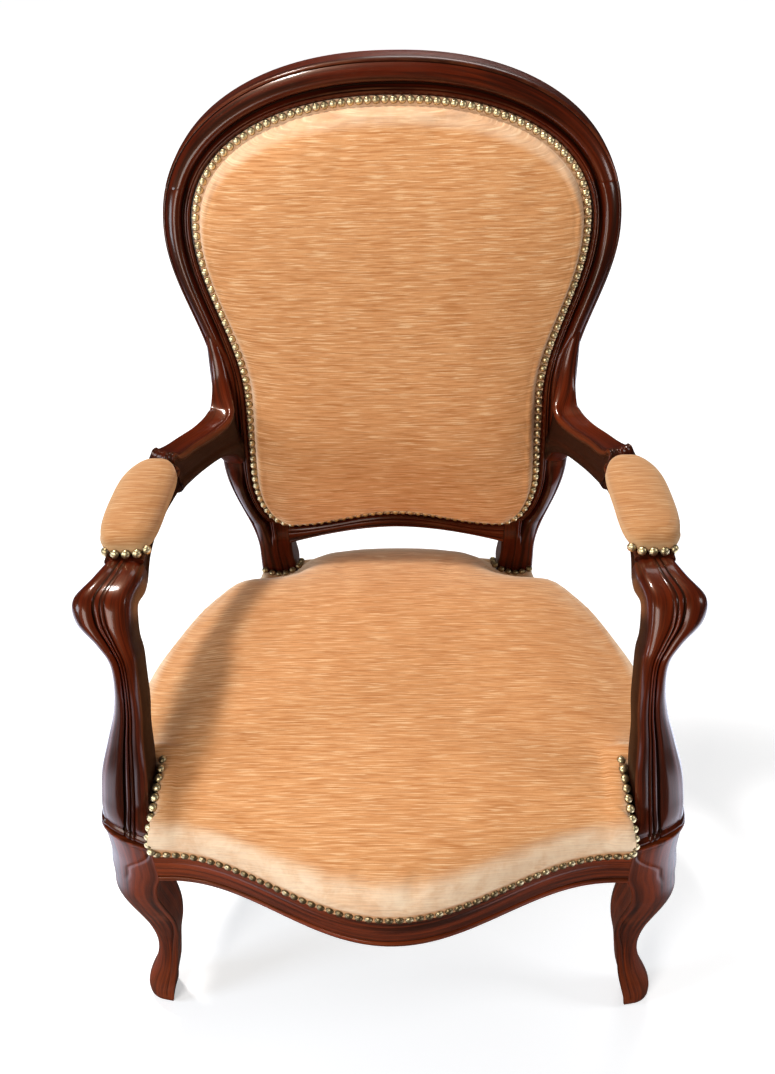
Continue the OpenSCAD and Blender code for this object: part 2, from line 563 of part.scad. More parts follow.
module side_rail() {
    inner = [for (i = [len(side_curve) - 1:-1:0]) let (y = side_curve[i]) [side_x(y) - rail_t, y]];
    translate([0, 0, rail_top - rail_h]) {
        rail_body([for (y = side_curve) [side_x(y), y]], inner);
        linear_extrude(height = bead_h)
            polygon(concat([for (y = side_curve) [side_x(y) + bead_out, y]],
                [for (i = [len(side_curve) - 1:-1:0]) [side_x(side_curve[i]) - 2, side_curve[i]]]));
    }
    side_front_tenon(0);
    side_rear_tenon(0);
}
module seat_rail_left() { color(wood) left() side_rail(); }
module seat_rail_right() { color(wood) right() side_rail(); }
module seat_rail_rear() {
    x = stile_base - stile_w;
    color(wood)
        difference() {
            union() {
                box_between([-x, rear_rail_y0, rail_top - rail_h],
                    [x, rear_rail_y1, rail_top - rear_rail_drop]);
                right() rear_tenon(0);
                left() rear_tenon(0);
            }
            right() block_screw(rear_screw, fit_gap);
            left() block_screw(rear_screw, fit_gap);
        }
}

// Corner blocks glued and screwed inside the frame
block_h = 30;
block_z = rail_top - rail_h + 10;
block_reach = 52;
block_screw_d = 4;
block_screw_l = 34;
block_gap = 0.3;
front_inner_y = -front_side_y + rail_t;
front_block = [
    [block_in - block_reach, front_inner_y + block_gap + 1],
    [block_in - block_gap, front_inner_y + block_gap + 1],
    [block_in - block_gap, side_front_y + block_gap],
    [side_x(side_front_y) - rail_t - block_gap, side_front_y + block_gap],
    [side_x(side_front_y) - rail_t - block_gap - 1, side_front_y + 22]];
rear_block_x = stile_base - stile_w;
rear_block = [
    [rear_block_x - 6, rear_rail_y0 - block_gap],
    [rear_block_x - block_reach, rear_rail_y0 - block_gap],
    [side_x(seat_back_y - 20) - rail_t - 3, seat_back_y - 32],
    [side_x(seat_back_y) - rail_t - block_gap, seat_back_y - block_gap],
    [rear_block_x - 6, seat_back_y - block_gap]];
// Each screw as [x, y of its head, y of its point]
front_screw = [block_in - 26, front_inner_y + 30, front_inner_y + 30 - block_screw_l];
rear_screw = [rear_block_x - 28, rear_rail_y0 - 20, rear_rail_y0 - 20 + block_screw_l];
block_screw_z = block_z + block_h / 2;
module block_screw(s, gap) {
    far = s[2] > s[1] ? gap : -gap;
    pin([s[0], s[1], block_screw_z], [s[0], s[2] + far, block_screw_z], block_screw_d + gap);
}
module corner_block(outline, screw) {
    difference() {
        translate([0, 0, block_z]) linear_extrude(height = block_h) polygon(outline);
        block_screw(screw, fit_gap);
    }
}
module corner_blocks() {
    color("#c9a878") {
        right() corner_block(front_block, front_screw);
        left() corner_block(front_block, front_screw);
        right() corner_block(rear_block, rear_screw);
        left() corner_block(rear_block, rear_screw);
    }
}
module corner_block_screws() {
    color(steel)
        for (s = [front_screw, rear_screw]) {
            right() block_screw(s, 0);
            left() block_screw(s, 0);
        }
}

module crest_dowels() {
    color("#d8b98a") {
        right() crest_dowel_pair(0);
        left() crest_dowel_pair(0);
    }
}
module arm_dowels() {
    color("#d8b98a") {
        right() collar_dowel(0);
        left() collar_dowel(0);
        right() arm_end_dowel(0);
        left() arm_end_dowel(0);
    }
}
module arm_screws() {
    color(steel) {
        right() arm_screw(0);
        left() arm_screw(0);
    }
}

glide_d = 20;
module glide(at) {
    translate([at[0], at[1], 0]) cylinder(h = glide_h, d1 = glide_d - 3, d2 = glide_d, $fn = round_fn);
    glide_pin(at, 0);
}
module foot_glides() {
    color(steel)
        for (at = [front_glide, rear_glide]) {
            right() glide(at);
            left() glide(at);
        }
}

// Plan outline of the seat at height z, grown by out past the rails. Each point is
// [x, y, 1 where the edge of the cloth lies on top of the wood].
support_back_y = side_front_y + 1;
// Inner face of the arm support where the seat meets it
function support_inner(z) = mix(block_in, block_in - 6, clamp((z - rail_top) / seat_crown));
function notch_x(z) = support_inner(z) - soft_gap - 0.5;
function seat_half(z, out) = let (hem = max(0, cover_t + soft_gap - out), nx = notch_x(z) - hem,
    wrap = z > rail_top + 4 ? 4 : 0, rear_x = stile_base - stile_w - soft_gap - 1 - hem,
    front_notch_y = support_back_y + 1 + hem, rear_notch_y = seat_back_y - soft_gap - 1 - hem)
    concat(
        [for (x = front_curve) if (x < block_in - 2) [x, front_y(x) - out, 0]],
        [[nx + 0.6 * wrap, front_y(nx) - out, 0], [nx + wrap, front_y(nx) + (wrap > 0 ? 3 : 0.1 - out), 1],
            [nx, front_y(nx) + 9, 1], [nx, support_back_y - 4, 1], [nx + 6, front_notch_y, 1],
            [side_x(front_notch_y + 1) + out, front_notch_y + 0.9, 1],
            [side_x(front_notch_y + 1) + out, front_notch_y + 1, 0]],
        [for (y = side_curve) if (y > side_front_y + 5 && y < seat_back_y - 5) [side_x(y) + out, y, 0]],
        [[side_x(rear_notch_y - 1) + out, rear_notch_y - 1, 0],
            [side_x(rear_notch_y - 1) + out, rear_notch_y - 0.9, 1],
            [stile_base - stile_w * 0.5, rear_notch_y, 1], [rear_x, rear_notch_y, 1],
            [rear_x, rear_rail_y1 + 0.1, 1], [rear_x - 1, rear_rail_y1 + out, 0],
            [rear_x / 2, rear_rail_y1 + out, 0], [0, rear_rail_y1 + out, 0]]);
seat_mid = [0, -60];
dome_half_w = seat_half_w - 60;
dome_front = front_side_y + 12;
dome_rear = seat_back_y + 20;
rear_sink = 0.42;
rear_sink_side = 0.4;
// Distance from the middle to the rounded plan of the crown, in direction v
function dome_reach(v) = let (c = abs(v[0]) / norm(v), s = abs(v[1]) / norm(v), front = v[1] < 0,
    b = front ? dome_front + seat_mid[1] : dome_rear - seat_mid[1], power = front ? 3.4 : 2.3)
    pow(pow(c / dome_half_w, power) + pow(s / b, power), -1 / power);
upright_sink = 0.82;
upright_sink_w = 44;
// The seat is lower towards the back, most where it is tacked in front of the uprights
function seat_z(x, y, z) = let (inside = seat_back_y, side = clamp(abs(x) / (stile_base - stile_w)),
    sink = (rear_sink + rear_sink_side * side * side) * ease(inside - 56, inside + 49, y),
    beside = (abs(x) - stile_base + stile_w / 2) / upright_sink_w,
    tacked = upright_sink * exp(-beside * beside) * ease(inside - 78, inside - 2, y)
        * (1 - ease(inside + 3, inside + 24, y)))
    mix(z, min(z, rail_top), 1 - (1 - sink) * (1 - tacked)) - rear_rail_drop * ease(inside, inside + 18, y);
// One closed line of the seat: z and out as above, then drawn in by inset, blended by round
// towards the rounded plan of the crown at the given share of its size, and lowered by drop
function seat_ring(z, out, inset = 0, shrink = 1, round = 0, drop = 0) =
    [for (p = both_sides(seat_half(z, out)))
        let (v = [p[0], p[1]] - seat_mid, crown = v / norm(v) * dome_reach(v) * shrink,
            q = mix(v * (1 - inset / norm(v)), crown, round), y = seat_mid[1] + q[1],
            lowest = p[2] == 1 ? seat_z(q[0], y, rail_top) + soft_gap : 0)
        [q[0], y, max(lowest, seat_z(q[0], y, z) - drop)]];

// Rows of [height above the rails, out, inset, shrink, roundness] of the seat's outer face
cover_low = -9;
seat_rows = [
    [cover_low, cover_t + soft_gap, 0, 1, 0],
    [2, cover_t + soft_gap + 0.1, 0, 1, 0],
    [0.2 * seat_crown, cover_t + 4.2, 0, 1, 0],
    [0.42 * seat_crown, cover_t + 2, 2, 1, 0.04],
    [0.60 * seat_crown, 0, 7, 1.06, 0.18],
    [0.76 * seat_crown, 0, 20, 0.98, 0.6],
    [0.89 * seat_crown, 0, 0, 0.78, 1],
    [0.97 * seat_crown, 0, 0, 0.48, 1],
    [seat_crown, 0, 0, 0.12, 1]];
function seat_inner_ring(k, gap) = let (r = seat_rows[k], flat = r[1] == 0)
    seat_ring(rail_top + r[0], flat ? 0 : r[1] - gap, flat ? r[2] + gap : r[2], r[3] * 0.985, r[4], gap);
module seat_cover() {
    outer = [for (r = seat_rows) seat_ring(rail_top + r[0], r[1], r[2], r[3], r[4])];
    inside = [for (k = [1, 3, 5, 6, 8]) seat_inner_ring(k, cover_t)];
    foot = seat_ring(rail_top + cover_low, soft_gap);
    color(velvet) skin(concat([for (k = [4:-1:0]) inside[k]], [foot], outer));
}
hessian_rise = 0.3 * seat_crown;
hessian_t = 1;
// The tacked edge of the hessian and the edge of its crown, raised by up
function hessian_edge(up) = seat_ring(rail_top, 0, 12, drop = -soft_gap - up);
function hessian_crown(up) = seat_ring(rail_top + hessian_rise, 0, 0, 0.84, 1, -up);
module seat_hessian() {
    color(canvas)
        skin([hessian_crown(0), hessian_edge(0), hessian_edge(hessian_t), hessian_crown(hessian_t)]);
}
module seat_stuffing() {
    up = hessian_t + soft_gap;
    gap = cover_t + soft_gap + 0.8;
    over = [for (k = [3, 5, 6, 8]) let (r = seat_rows[k])
        seat_ring(rail_top + r[0], 0, max(9, r[2] + cover_t), r[3] * 0.985, r[4], gap)];
    color("#e6ddc8")
        skin(concat([hessian_crown(up), hessian_edge(up)],
            [seat_ring(rail_top, 0, 9, drop = -up - soft_gap)], over));
}

// Webbing under the rails, springs standing on it, and the cloth below
web_t = 1.2;
web_w = 50;
web_z = rail_top - rail_h - soft_gap - web_t;
function plan(inset) = [for (p = seat_ring(rail_top, 0, inset)) [p[0], p[1]]];
module web_plan() {
    intersection() {
        polygon(plan(6));
        children();
    }
}
// Each strap is drawn longer than the seat and cut to its outline
web_l = 4 * seat_half_w;
web_step = 75;
web_xs = [for (k = [-2:2]) k * web_step];
web_ys = [for (k = [-2:2]) -50 + k * web_step];
module seat_webbing() {
    color(canvas) {
        translate([0, 0, web_z]) linear_extrude(height = web_t)
            web_plan() for (x = web_xs) translate([x, 0]) square([web_w, web_l], center = true);
        translate([0, 0, web_z - web_t]) linear_extrude(height = web_t)
            web_plan() for (y = web_ys) translate([0, y]) square([web_l, web_w], center = true);
    }
}
module dust_cover() {
    color("#2e2a28")
        translate([0, 0, web_z - web_t - soft_gap - 0.8]) linear_extrude(height = 0.8) polygon(plan(4));
}
spring_z0 = web_z + web_t + soft_gap / 2;
spring_drop = 2;
spring_h = rail_top + hessian_rise - spring_drop - spring_z0;
spring_rings = 8;
spring_sides = 6;
spring_waist = 0.62;
spring_start = -90;
// Share of a spring's height at share t of its length, flatter at both ends
function spring_rise(t) = let (low = ease(-0.12, 1.12, 0)) (ease(-0.12, 1.12, t) - low) / (1 - 2 * low);
function spring_at(k) = let (t = k / spring_turns / spring_rings, a = spring_start + 360 * k / spring_rings,
    r = (spring_d - wire_d) / 2 * mix(spring_waist, 1, pow(2 * t - 1, 2)))
    [r * cos(a), r * sin(a), wire_d / 2 + (spring_h - wire_d) * spring_rise(t)];
spring_path = [for (k = [0:spring_turns * spring_rings]) spring_at(k)];
module spring() {
    n = len(spring_path);
    rings = [for (k = [0:n - 1]) let (a = spring_start + 360 * k / spring_rings, out = [cos(a), sin(a), 0])
        [for (j = [0:spring_sides - 1]) let (b = 360 * j / spring_sides)
            spring_path[k] + wire_d / 2 * (cos(b) * out + sin(b) * [0, 0, 1])]];
    skin([for (r = rings) turned(r)]);
}
spring_gap = min([for (i = [0:len(spring_path) - 6]) for (j = [i + 5:len(spring_path) - 1])
    norm(spring_path[i] - spring_path[j])]) - wire_d;
spring_places = [for (k = [[-1, 1], [1, 1], [0, 2], [-1, 3], [1, 3]]) [k[0] * web_step, web_ys[k[1]]]];
module seat_springs() {
    echo("least gap of a spring to itself, mm", spring_gap);
    color(steel)
        for (p = spring_places) translate([p[0], p[1], spring_z0]) spring();
}

// Padded back, from the ledge forward: webbing, hessian, stuffing, velvet
hem_in = nail_d / 2 + 4.5;
back_in = hem_in + 3;
layer_gap = 0.6;
web_depth = ledge_drop - soft_gap - web_t;
web_cross = web_t + 0.1;
hessian_depth = web_depth - web_cross - layer_gap - hessian_t;
edge_points = concat(
    [for (t = [0, 30, 60]) [corner_x + corner_a * sin(t), corner_z - corner_b * cos(t)]],
    [for (z = steps(corner_z, balloon_z, 7)) [panel_x(z), z]],
    [for (t = [0:15:75]) panel_at(t)], [panel_at(84)]);
// A sheet inside the nail line, as rows from edge to edge that follow the arch at the foot
function sheet_row(edge, inside, depth, t) =
    let (v = edge - panel_mid, e = panel_mid + v * (1 - inside / norm(v)),
        arch = panel_arch * (1 - ease(panel_low, waist_z, edge[1])),
        xs = [-e[0], -e[0] / 2, 0, e[0] / 2, e[0]],
        zs = [for (x = xs) e[1] + arch * (1 + cos(180 * x / e[0])) / 2])
    concat([for (i = [0:4]) [xs[i], back_y(zs[i]) + depth, zs[i]]],
        [for (i = [4:-1:0]) [xs[i], back_y(zs[i]) + depth + t, zs[i]]]);
module panel_sheet(inside, depth, t) {
    rows = [for (e = edge_points) sheet_row(e, inside, depth, t)];
    m = len(rows);
    points = [for (r = rows) each r];
    sides = [for (k = [0:m - 2]) for (i = [0:9]) let (j = (i + 1) % 10)
        each [[k * 10 + i, (k + 1) * 10 + j, k * 10 + j], [k * 10 + i, (k + 1) * 10 + i, (k + 1) * 10 + j]]];
    // Both ends are narrow strips between the front and the rear line of the row
    foot = [for (i = [0:3]) each [[i, i + 1, 8 - i], [i, 8 - i, 9 - i]]];
    head = [for (i = [0:3]) let (b = (m - 1) * 10)
        each [[b + i, b + 8 - i, b + i + 1], [b + i, b + 9 - i, b + 8 - i]]];
    polyhedron(points = points, faces = concat(sides, foot, head), convexity = 4);
}
// One strap from the lower rail to the crest, at distance x from the middle
module upright_strap(x) {
    z0 = panel_z(abs(x) + web_w / 2) + back_in + panel_arch / 2;
    z1 = balloon_z + bow(panel_wide, panel_top - balloon_z, abs(x) + web_w / 2) - back_in;
    a = x - web_w / 2;
    b = x + web_w / 2;
    skin([for (k = [0:12]) let (z = mix(z0, z1, k / 12), y = back_y(z) + web_depth - web_cross)
        [[a, y, z], [b, y, z], [b, y + web_t, z], [a, y + web_t, z]]]);
}
module cross_strap(z) {
    x = min(panel_x(z - web_w / 2), panel_x(z + web_w / 2)) - back_in;
    skin([for (k = [0:3]) let (h = z - web_w / 2 + web_w * k / 3, y = back_y(h) + web_depth)
        [[-x, y, h], [x, y, h], [x, y + web_t, h], [-x, y + web_t, h]]]);
}
module back_webbing() {
    color(canvas) {
        for (k = [-1:1]) upright_strap(0.406 * panel_wide * k);
        for (t = [0.28, 0.5, 0.72]) cross_strap(mix(panel_low, panel_top, t));
    }
}
module back_hessian() {
    color(canvas) panel_sheet(back_in, hessian_depth, hessian_t);
}
// Rows of [out from the nail line, share of the crown, shrink] of the back pad
edge_out = 4;
back_rows = [
    [edge_out, 0, 1],
    [-nail_d / 2 - 0.8, 0, 1],
    [-nail_d / 2 - 2.5, 0.28, 1],
    [-nail_d / 2 - 8, 0.56, 1],
    [-nail_d / 2 - 20, 0.76, 1],
    [-nail_d / 2 - 48, 0.91, 1],
    [-nail_d / 2 - 48, 0.98, 0.6],
    [-nail_d / 2 - 48, 1, 0.1]];
edge_depth = ledge_drop - soft_gap - cover_t;
function back_pad_ring(r, inward) =
    panel_ring(r[0] - inward, mix(edge_depth, -back_crown, r[1]) + inward, r[2]);
module back_cover() {
    inside = [for (k = [0, 2, 4, 5, 7]) let (r = back_rows[k]) k == 0
        ? panel_ring(edge_out - 0.05, edge_depth + cover_t) : back_pad_ring(r, cover_t)];
    color(velvet)
        skin(concat([for (k = [4:-1:1]) inside[k]],
            [panel_ring(-hem_in, edge_depth + cover_t), inside[0]],
            [for (r = back_rows) back_pad_ring(r, 0)]));
}
module back_stuffing() {
    base = hessian_depth - 2 * layer_gap;
    gap = cover_t + soft_gap;
    color("#e6ddc8")
        skin(concat([for (k = [0:4]) panel_ring(-back_in, base, [0.02, 0.25, 0.5, 0.75, 1][k])],
            [for (k = [2, 4, 5, 7]) back_pad_ring(back_rows[k], gap + 0.6)]));
}
outer_cover_t = 1.2;
module back_outer_cover() {
    color(velvet) panel_sheet(-edge_out, frame_t + soft_gap, outer_cover_t);
}

// Arm pads: rows of [inset, share of the height]
pad_mid_y = arm_end_y + 4 + pad_l / 2;
pad_sides = 24;
pad_power = 0.61;
pad_narrowing = 0.16;
pad_axis = [for (r = arm_rows) if (r[0] >= 7) [-r[2], r[1]]];
// Point of the pad's outline in direction t, drawn in by inset
function pad_point(t, inset) =
    let (u = sign(cos(t)) * pow(abs(cos(t)), pad_power), v = sign(sin(t)) * pow(abs(sin(t)), pad_power),
        y = pad_mid_y + (pad_l / 2 - inset) * v, w = pad_half_w * (1 - pad_narrowing * pow(abs(v), 3)))
    [along(pad_axis, -y)[1] + max(1, w - inset) * u, y];
function pad_ring(inset, z) = [for (k = [0:pad_sides - 1]) [each pad_point(360 * k / pad_sides, inset), z]];
pad_rows = [[5, 0], [1, 0.16], [0, 0.34], [1.2, 0.55], [5, 0.76], [12, 0.92], [22, 1]];
module arm_pad_stuffing() {
    gap = cover_t + soft_gap;
    z0 = arm_z + soft_gap;
    skin(concat([pad_ring(22, z0), pad_ring(5 + gap, z0)],
        [for (k = [1, 3, 5, 6]) let (r = pad_rows[k])
            pad_ring(r[0] + gap + 0.6, z0 + pad_h * r[1] - (k > 2 ? gap + 0.4 : 0.4 * cover_t))]));
}
module arm_pad_cover() {
    z0 = arm_z + soft_gap;
    outer = [for (r = pad_rows) pad_ring(r[0], z0 + pad_h * r[1])];
    inside = [for (k = [1, 3, 5, 6]) let (r = pad_rows[k])
        pad_ring(r[0] + cover_t, z0 + pad_h * r[1] - cover_t * (k > 2 ? 1 : 0.4))];
    skin(concat([for (k = [3:-1:0]) inside[k]], [pad_ring(5 + cover_t, z0)], outer));
}
module arm_pad_stuffing_left() { color("#e6ddc8") left() arm_pad_stuffing(); }
module arm_pad_stuffing_right() { color("#e6ddc8") right() arm_pad_stuffing(); }
module arm_pad_cover_left() { color(velvet) left() arm_pad_cover(); }
module arm_pad_cover_right() { color(velvet) right() arm_pad_cover(); }

// Domed nail heads
module nail(at, along_dir, d = nail_d) {
    r = d / 2;
    h = 0.36 * d;
    translate(at)
        rotate([0, acos(along_dir[2] / norm(along_dir)), atan2(along_dir[1], along_dir[0])])
            rotate_extrude($fn = round_fn)
                polygon([[0, 0], [r, 0], [r * 0.93, h * 0.35], [r * 0.66, h * 0.78], [r * 0.25, h], [0, h]]);
}
nail_lift = 0.6;
function back_slope(z) = (back_y(z + 1) - back_y(z - 1)) / 2;
module back_nails() {
    color(brass)
        for (p = walk(both_sides(panel_half()), nail_pitch, true))
            nail([p[0], back_y(p[1]) + edge_depth - nail_lift, p[1]], [0, -1, back_slope(p[1])]);
}
module back_outer_nails() {
    color(brass)
        for (p = walk(both_sides(panel_half()), 2.2 * nail_pitch, true))
            nail([p[0], back_y(p[1]) + frame_t + soft_gap + outer_cover_t + nail_lift, p[1]],
                [0, 1, -back_slope(p[1])]);
}
nail_line_z = rail_top + cover_low + nail_d / 2 + 0.2;
nail_stand = cover_t + soft_gap + nail_lift;
function front_slope(x) = (front_y(x + 1) - front_y(x - 1)) / 2;
function side_slope(y) = (side_x(y + 1) - side_x(y - 1)) / 2;
module side_nail(at, facing) {
    nail(at, facing);
    mirror([1, 0, 0]) nail(at, facing);
}
// Edge of the velvet from the front corner of the seat up and back along the arm support
function cover_edge(k, i) = let (r = seat_rows[k]) seat_ring(rail_top + r[0], r[1], r[2], r[3], r[4])[i];
corner_first = 13;
corner_path = concat([for (k = [1:4]) cover_edge(k, corner_first)],
    [cover_edge(4, corner_first + 1), cover_edge(4, corner_first + 2)]);
corner_turn = 0.38;
corner_lift = 1;
// Facing of the nails at the foot, in the bend and at the end of that edge
corner_facing = [[0.35, -1, 0.1], [0.35, -0.75, 0.6], [0.55, -0.05, 0.85]];
module seat_nails() {
    front_half = concat([for (x = front_curve) if (x < block_in - 10) x], [block_in - 6]);
    front_xs = concat([for (i = [len(front_half) - 1:-1:1]) -front_half[i]], front_half);
    front_path = [for (x = front_xs) [x, front_y(x)]];
    side_ys = concat([side_front_y + 10],
        [for (y = side_curve) if (y > side_front_y + 15 && y < seat_back_y - 10) y]);
    side_path = [for (y = side_ys) [side_x(y), y]];
    corner = walk(corner_path, nail_pitch, false);
    color(brass) {
        for (p = walk(front_path, nail_pitch, false))
            let (m = front_slope(p[0]), n = [m, -1] / norm([m, 1]), at = p + n * nail_stand)
                nail([at[0], at[1], nail_line_z], [n[0], n[1], 0]);
        for (p = walk(side_path, nail_pitch, false))
            let (m = side_slope(p[1]), n = [1, -m] / norm([1, m]), at = p + n * nail_stand)
                side_nail([at[0], at[1], nail_line_z], [n[0], n[1], 0]);
        for (k = [1:len(corner) - 1]) let (t = k / (len(corner) - 1), turn = t < corner_turn,
            n = turn ? mix(corner_facing[0], corner_facing[1], t / corner_turn)
                : mix(corner_facing[1], corner_facing[2], (t - corner_turn) / (1 - corner_turn)))
            side_nail(corner[k] + n / norm(n) * corner_lift, n);
    }
}
pad_nail_d = 9.8;
module pad_nails() {
    z = arm_z + soft_gap + pad_nail_d / 2;
    path = walk([for (t = [234:6:306]) pad_point(t, -nail_stand / 2)], pad_nail_d + 1, false);
    for (k = [0:len(path) - 1]) let (side = (k - (len(path) - 1) / 2) / len(path) * 1.5)
        nail([path[k][0], path[k][1], z], [side, -1, 0.3], pad_nail_d);
}
module arm_pad_nails() {
    color(brass) {
        right() pad_nails();
        left() pad_nails();
    }
}

rear_leg_left();
rear_leg_right();
crest_rail();
back_lower_rail();
front_leg_left();
front_leg_right();
arm_support_left();
arm_support_right();
arm_left();
arm_right();
seat_rail_front();
seat_rail_left();
seat_rail_right();
seat_rail_rear();
corner_blocks();
corner_block_screws();
crest_dowels();
arm_dowels();
arm_screws();
foot_glides();
seat_webbing();
seat_springs();
seat_hessian();
seat_stuffing();
seat_cover();
dust_cover();
back_webbing();
back_hessian();
back_stuffing();
back_cover();
back_outer_cover();
arm_pad_stuffing_left();
arm_pad_stuffing_right();
arm_pad_cover_left();
arm_pad_cover_right();
back_nails();
back_outer_nails();
seat_nails();
arm_pad_nails();
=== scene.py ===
"""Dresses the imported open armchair: polished mahogany, golden velvet and brass nails.

Lengths inside the classes are millimetres, as in the part's source, and become metres when a
Shell is placed. X runs to the viewer's right, Y to the back and Z up from the floor.
"""

import logging
import math
from collections.abc import Callable
from dataclasses import dataclass, field, replace
from enum import Enum

import bpy
import numpy as np
from mathutils import Matrix, Vector


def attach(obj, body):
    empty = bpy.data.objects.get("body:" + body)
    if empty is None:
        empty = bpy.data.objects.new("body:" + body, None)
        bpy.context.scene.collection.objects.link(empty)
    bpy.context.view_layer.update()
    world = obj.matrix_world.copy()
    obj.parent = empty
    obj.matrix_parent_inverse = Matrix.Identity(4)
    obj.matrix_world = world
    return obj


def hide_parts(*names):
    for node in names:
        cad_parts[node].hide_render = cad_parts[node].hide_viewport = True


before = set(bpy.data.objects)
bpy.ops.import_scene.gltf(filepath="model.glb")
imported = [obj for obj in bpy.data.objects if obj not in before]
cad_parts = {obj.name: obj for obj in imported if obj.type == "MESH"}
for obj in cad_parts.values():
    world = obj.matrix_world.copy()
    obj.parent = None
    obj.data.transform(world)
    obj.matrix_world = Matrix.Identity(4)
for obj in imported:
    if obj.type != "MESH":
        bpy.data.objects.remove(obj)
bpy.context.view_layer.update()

Array = np.ndarray
Colour = tuple[float, float, float]
LOG = logging.getLogger("armchair")
MM = 0.001
FLIP = np.array([-1.0, 1.0, 1.0])
ACROSS, BACK, UP = np.eye(3)
ROUND_POWER = 2.2
SMOOTH_ANGLE, CLOTH_ANGLE, NAIL_ANGLE = (math.radians(a) for a in (52, 70, 60))
LEAN = 1.04  # cloth length for each unit of height on the leaning back
GAP = 0.3  # air between the cloth and what it lies on
SHEET_T = 1.2  # thickness of the rear cover


# Curves and numbers

def clamp(t: Array) -> Array:
    """t kept between 0 and 1."""
    return np.clip(t, 0.0, 1.0)


def mix(a: Array, b: Array, t: Array) -> Array:
    """The value at share t of the way from a to b."""
    return a + (b - a) * t


def ease(a: float, b: float, t: Array) -> Array:
    """Rises from 0 to 1 along half a cosine wave while t goes from a to b."""
    return (1 - np.cos(np.pi * clamp((np.asarray(t, float) - a) / (b - a)))) / 2


def bump(t: Array, middle: float, width: float) -> Array:
    """A bell curve of height 1 about middle: e to the minus square of (t - middle) / width."""
    return np.exp(-(((np.asarray(t, float) - middle) / width) ** 2))


def bow(a: float, b: float, x: Array) -> Array:
    """Height at x of a rounded arch of half width a and rise b: |x/a|^p + |y/b|^p = 1."""
    return b * (1 - clamp(np.abs(x) / a) ** ROUND_POWER) ** (1 / ROUND_POWER)


def signed_power(v: Array, exponent: float) -> Array:
    """|v| to a power, with the sign of v."""
    return np.sign(v) * np.abs(v) ** exponent


def unit(v: Array) -> Array:
    """Vectors (..., k) made 1 long."""
    return v / np.maximum(np.linalg.norm(v, axis=-1, keepdims=True), 1e-9)


def grid(x: Array, y: Array, z: Array) -> Array:
    """Points from three coordinates that spread over each other."""
    return np.stack(np.broadcast_arrays(x, y, z), -1)


def lengths(path: Array) -> Array:
    """Distance along a path of points (N, k) from its start to each point."""
    return np.concatenate([[0.0], np.cumsum(np.linalg.norm(np.diff(path, axis=0), axis=1))])


def resample(path: Array, count: int) -> Array:
    """The same path with count points spaced evenly along it."""
    at = lengths(path)
    want = np.linspace(0, at[-1], count)
    return np.stack([np.interp(want, at, path[:, k]) for k in range(path.shape[1])], axis=1)


def area_inside(x: Array, y: Array) -> float:
    """Square metres inside a closed outline in millimetres."""
    return abs(float((x * np.roll(y, -1) - np.roll(x, -1) * y).sum())) / 2 * MM * MM


def walk(path: Array, pitch: float, closed: bool) -> Array:
    """Places along a path, about one each pitch, with the rounding spread evenly.

    Args:
        path: points (N, k).
        pitch: wanted distance between places.
        closed: whether the path returns to its first point.

    Returns:
        The places, without the repeated last one where the path is closed.
    """
    run = np.vstack([path, path[:1]]) if closed else path
    count = int(round(lengths(run)[-1] / pitch))
    places = resample(run, count + 1)
    return places[:-1] if closed else places


def mirror_half(half: Array) -> Array:
    """A right half from its first to its last point on the middle line, made whole.

    Args:
        half: points (N, k) whose first column is x.

    Returns:
        2N - 2 points, the left ones running back with x negated.
    """
    back = half[-2:0:-1].copy()
    back[:, 0] *= -1
    return np.vstack([half, back])


@dataclass(frozen=True)
class Rows:
    """A smooth curve through rows of [position, values...]."""

    table: tuple[tuple[float, ...], ...]

    def at(self, position: Array) -> Array:
        """Cubic Hermite interpolation whose slopes are those between the neighbouring rows.

        Args:
            position: positions (N,).

        Returns:
            Values (N, k).
        """
        rows = np.array(self.table, float)
        x, v = rows[:, 0], rows[:, 1:]
        slope = np.empty_like(v)
        slope[1:-1] = (v[2:] - v[:-2]) / (x[2:] - x[:-2])[:, None]
        slope[0] = (v[1] - v[0]) / (x[1] - x[0])
        slope[-1] = (v[-1] - v[-2]) / (x[-1] - x[-2])
        s = np.clip(np.atleast_1d(position), x[0], x[-1])
        i = np.clip(np.searchsorted(x, s, side="right") - 1, 0, len(x) - 2)
        w = (x[i + 1] - x[i])[:, None]
        u = ((s - x[i]) / (x[i + 1] - x[i]))[:, None]
        return (
            v[i] * (2 * u**3 - 3 * u**2 + 1) + slope[i] * w * (u**3 - 2 * u**2 + u)
            + v[i + 1] * (3 * u**2 - 2 * u**3) + slope[i + 1] * w * (u**3 - u**2)
        )


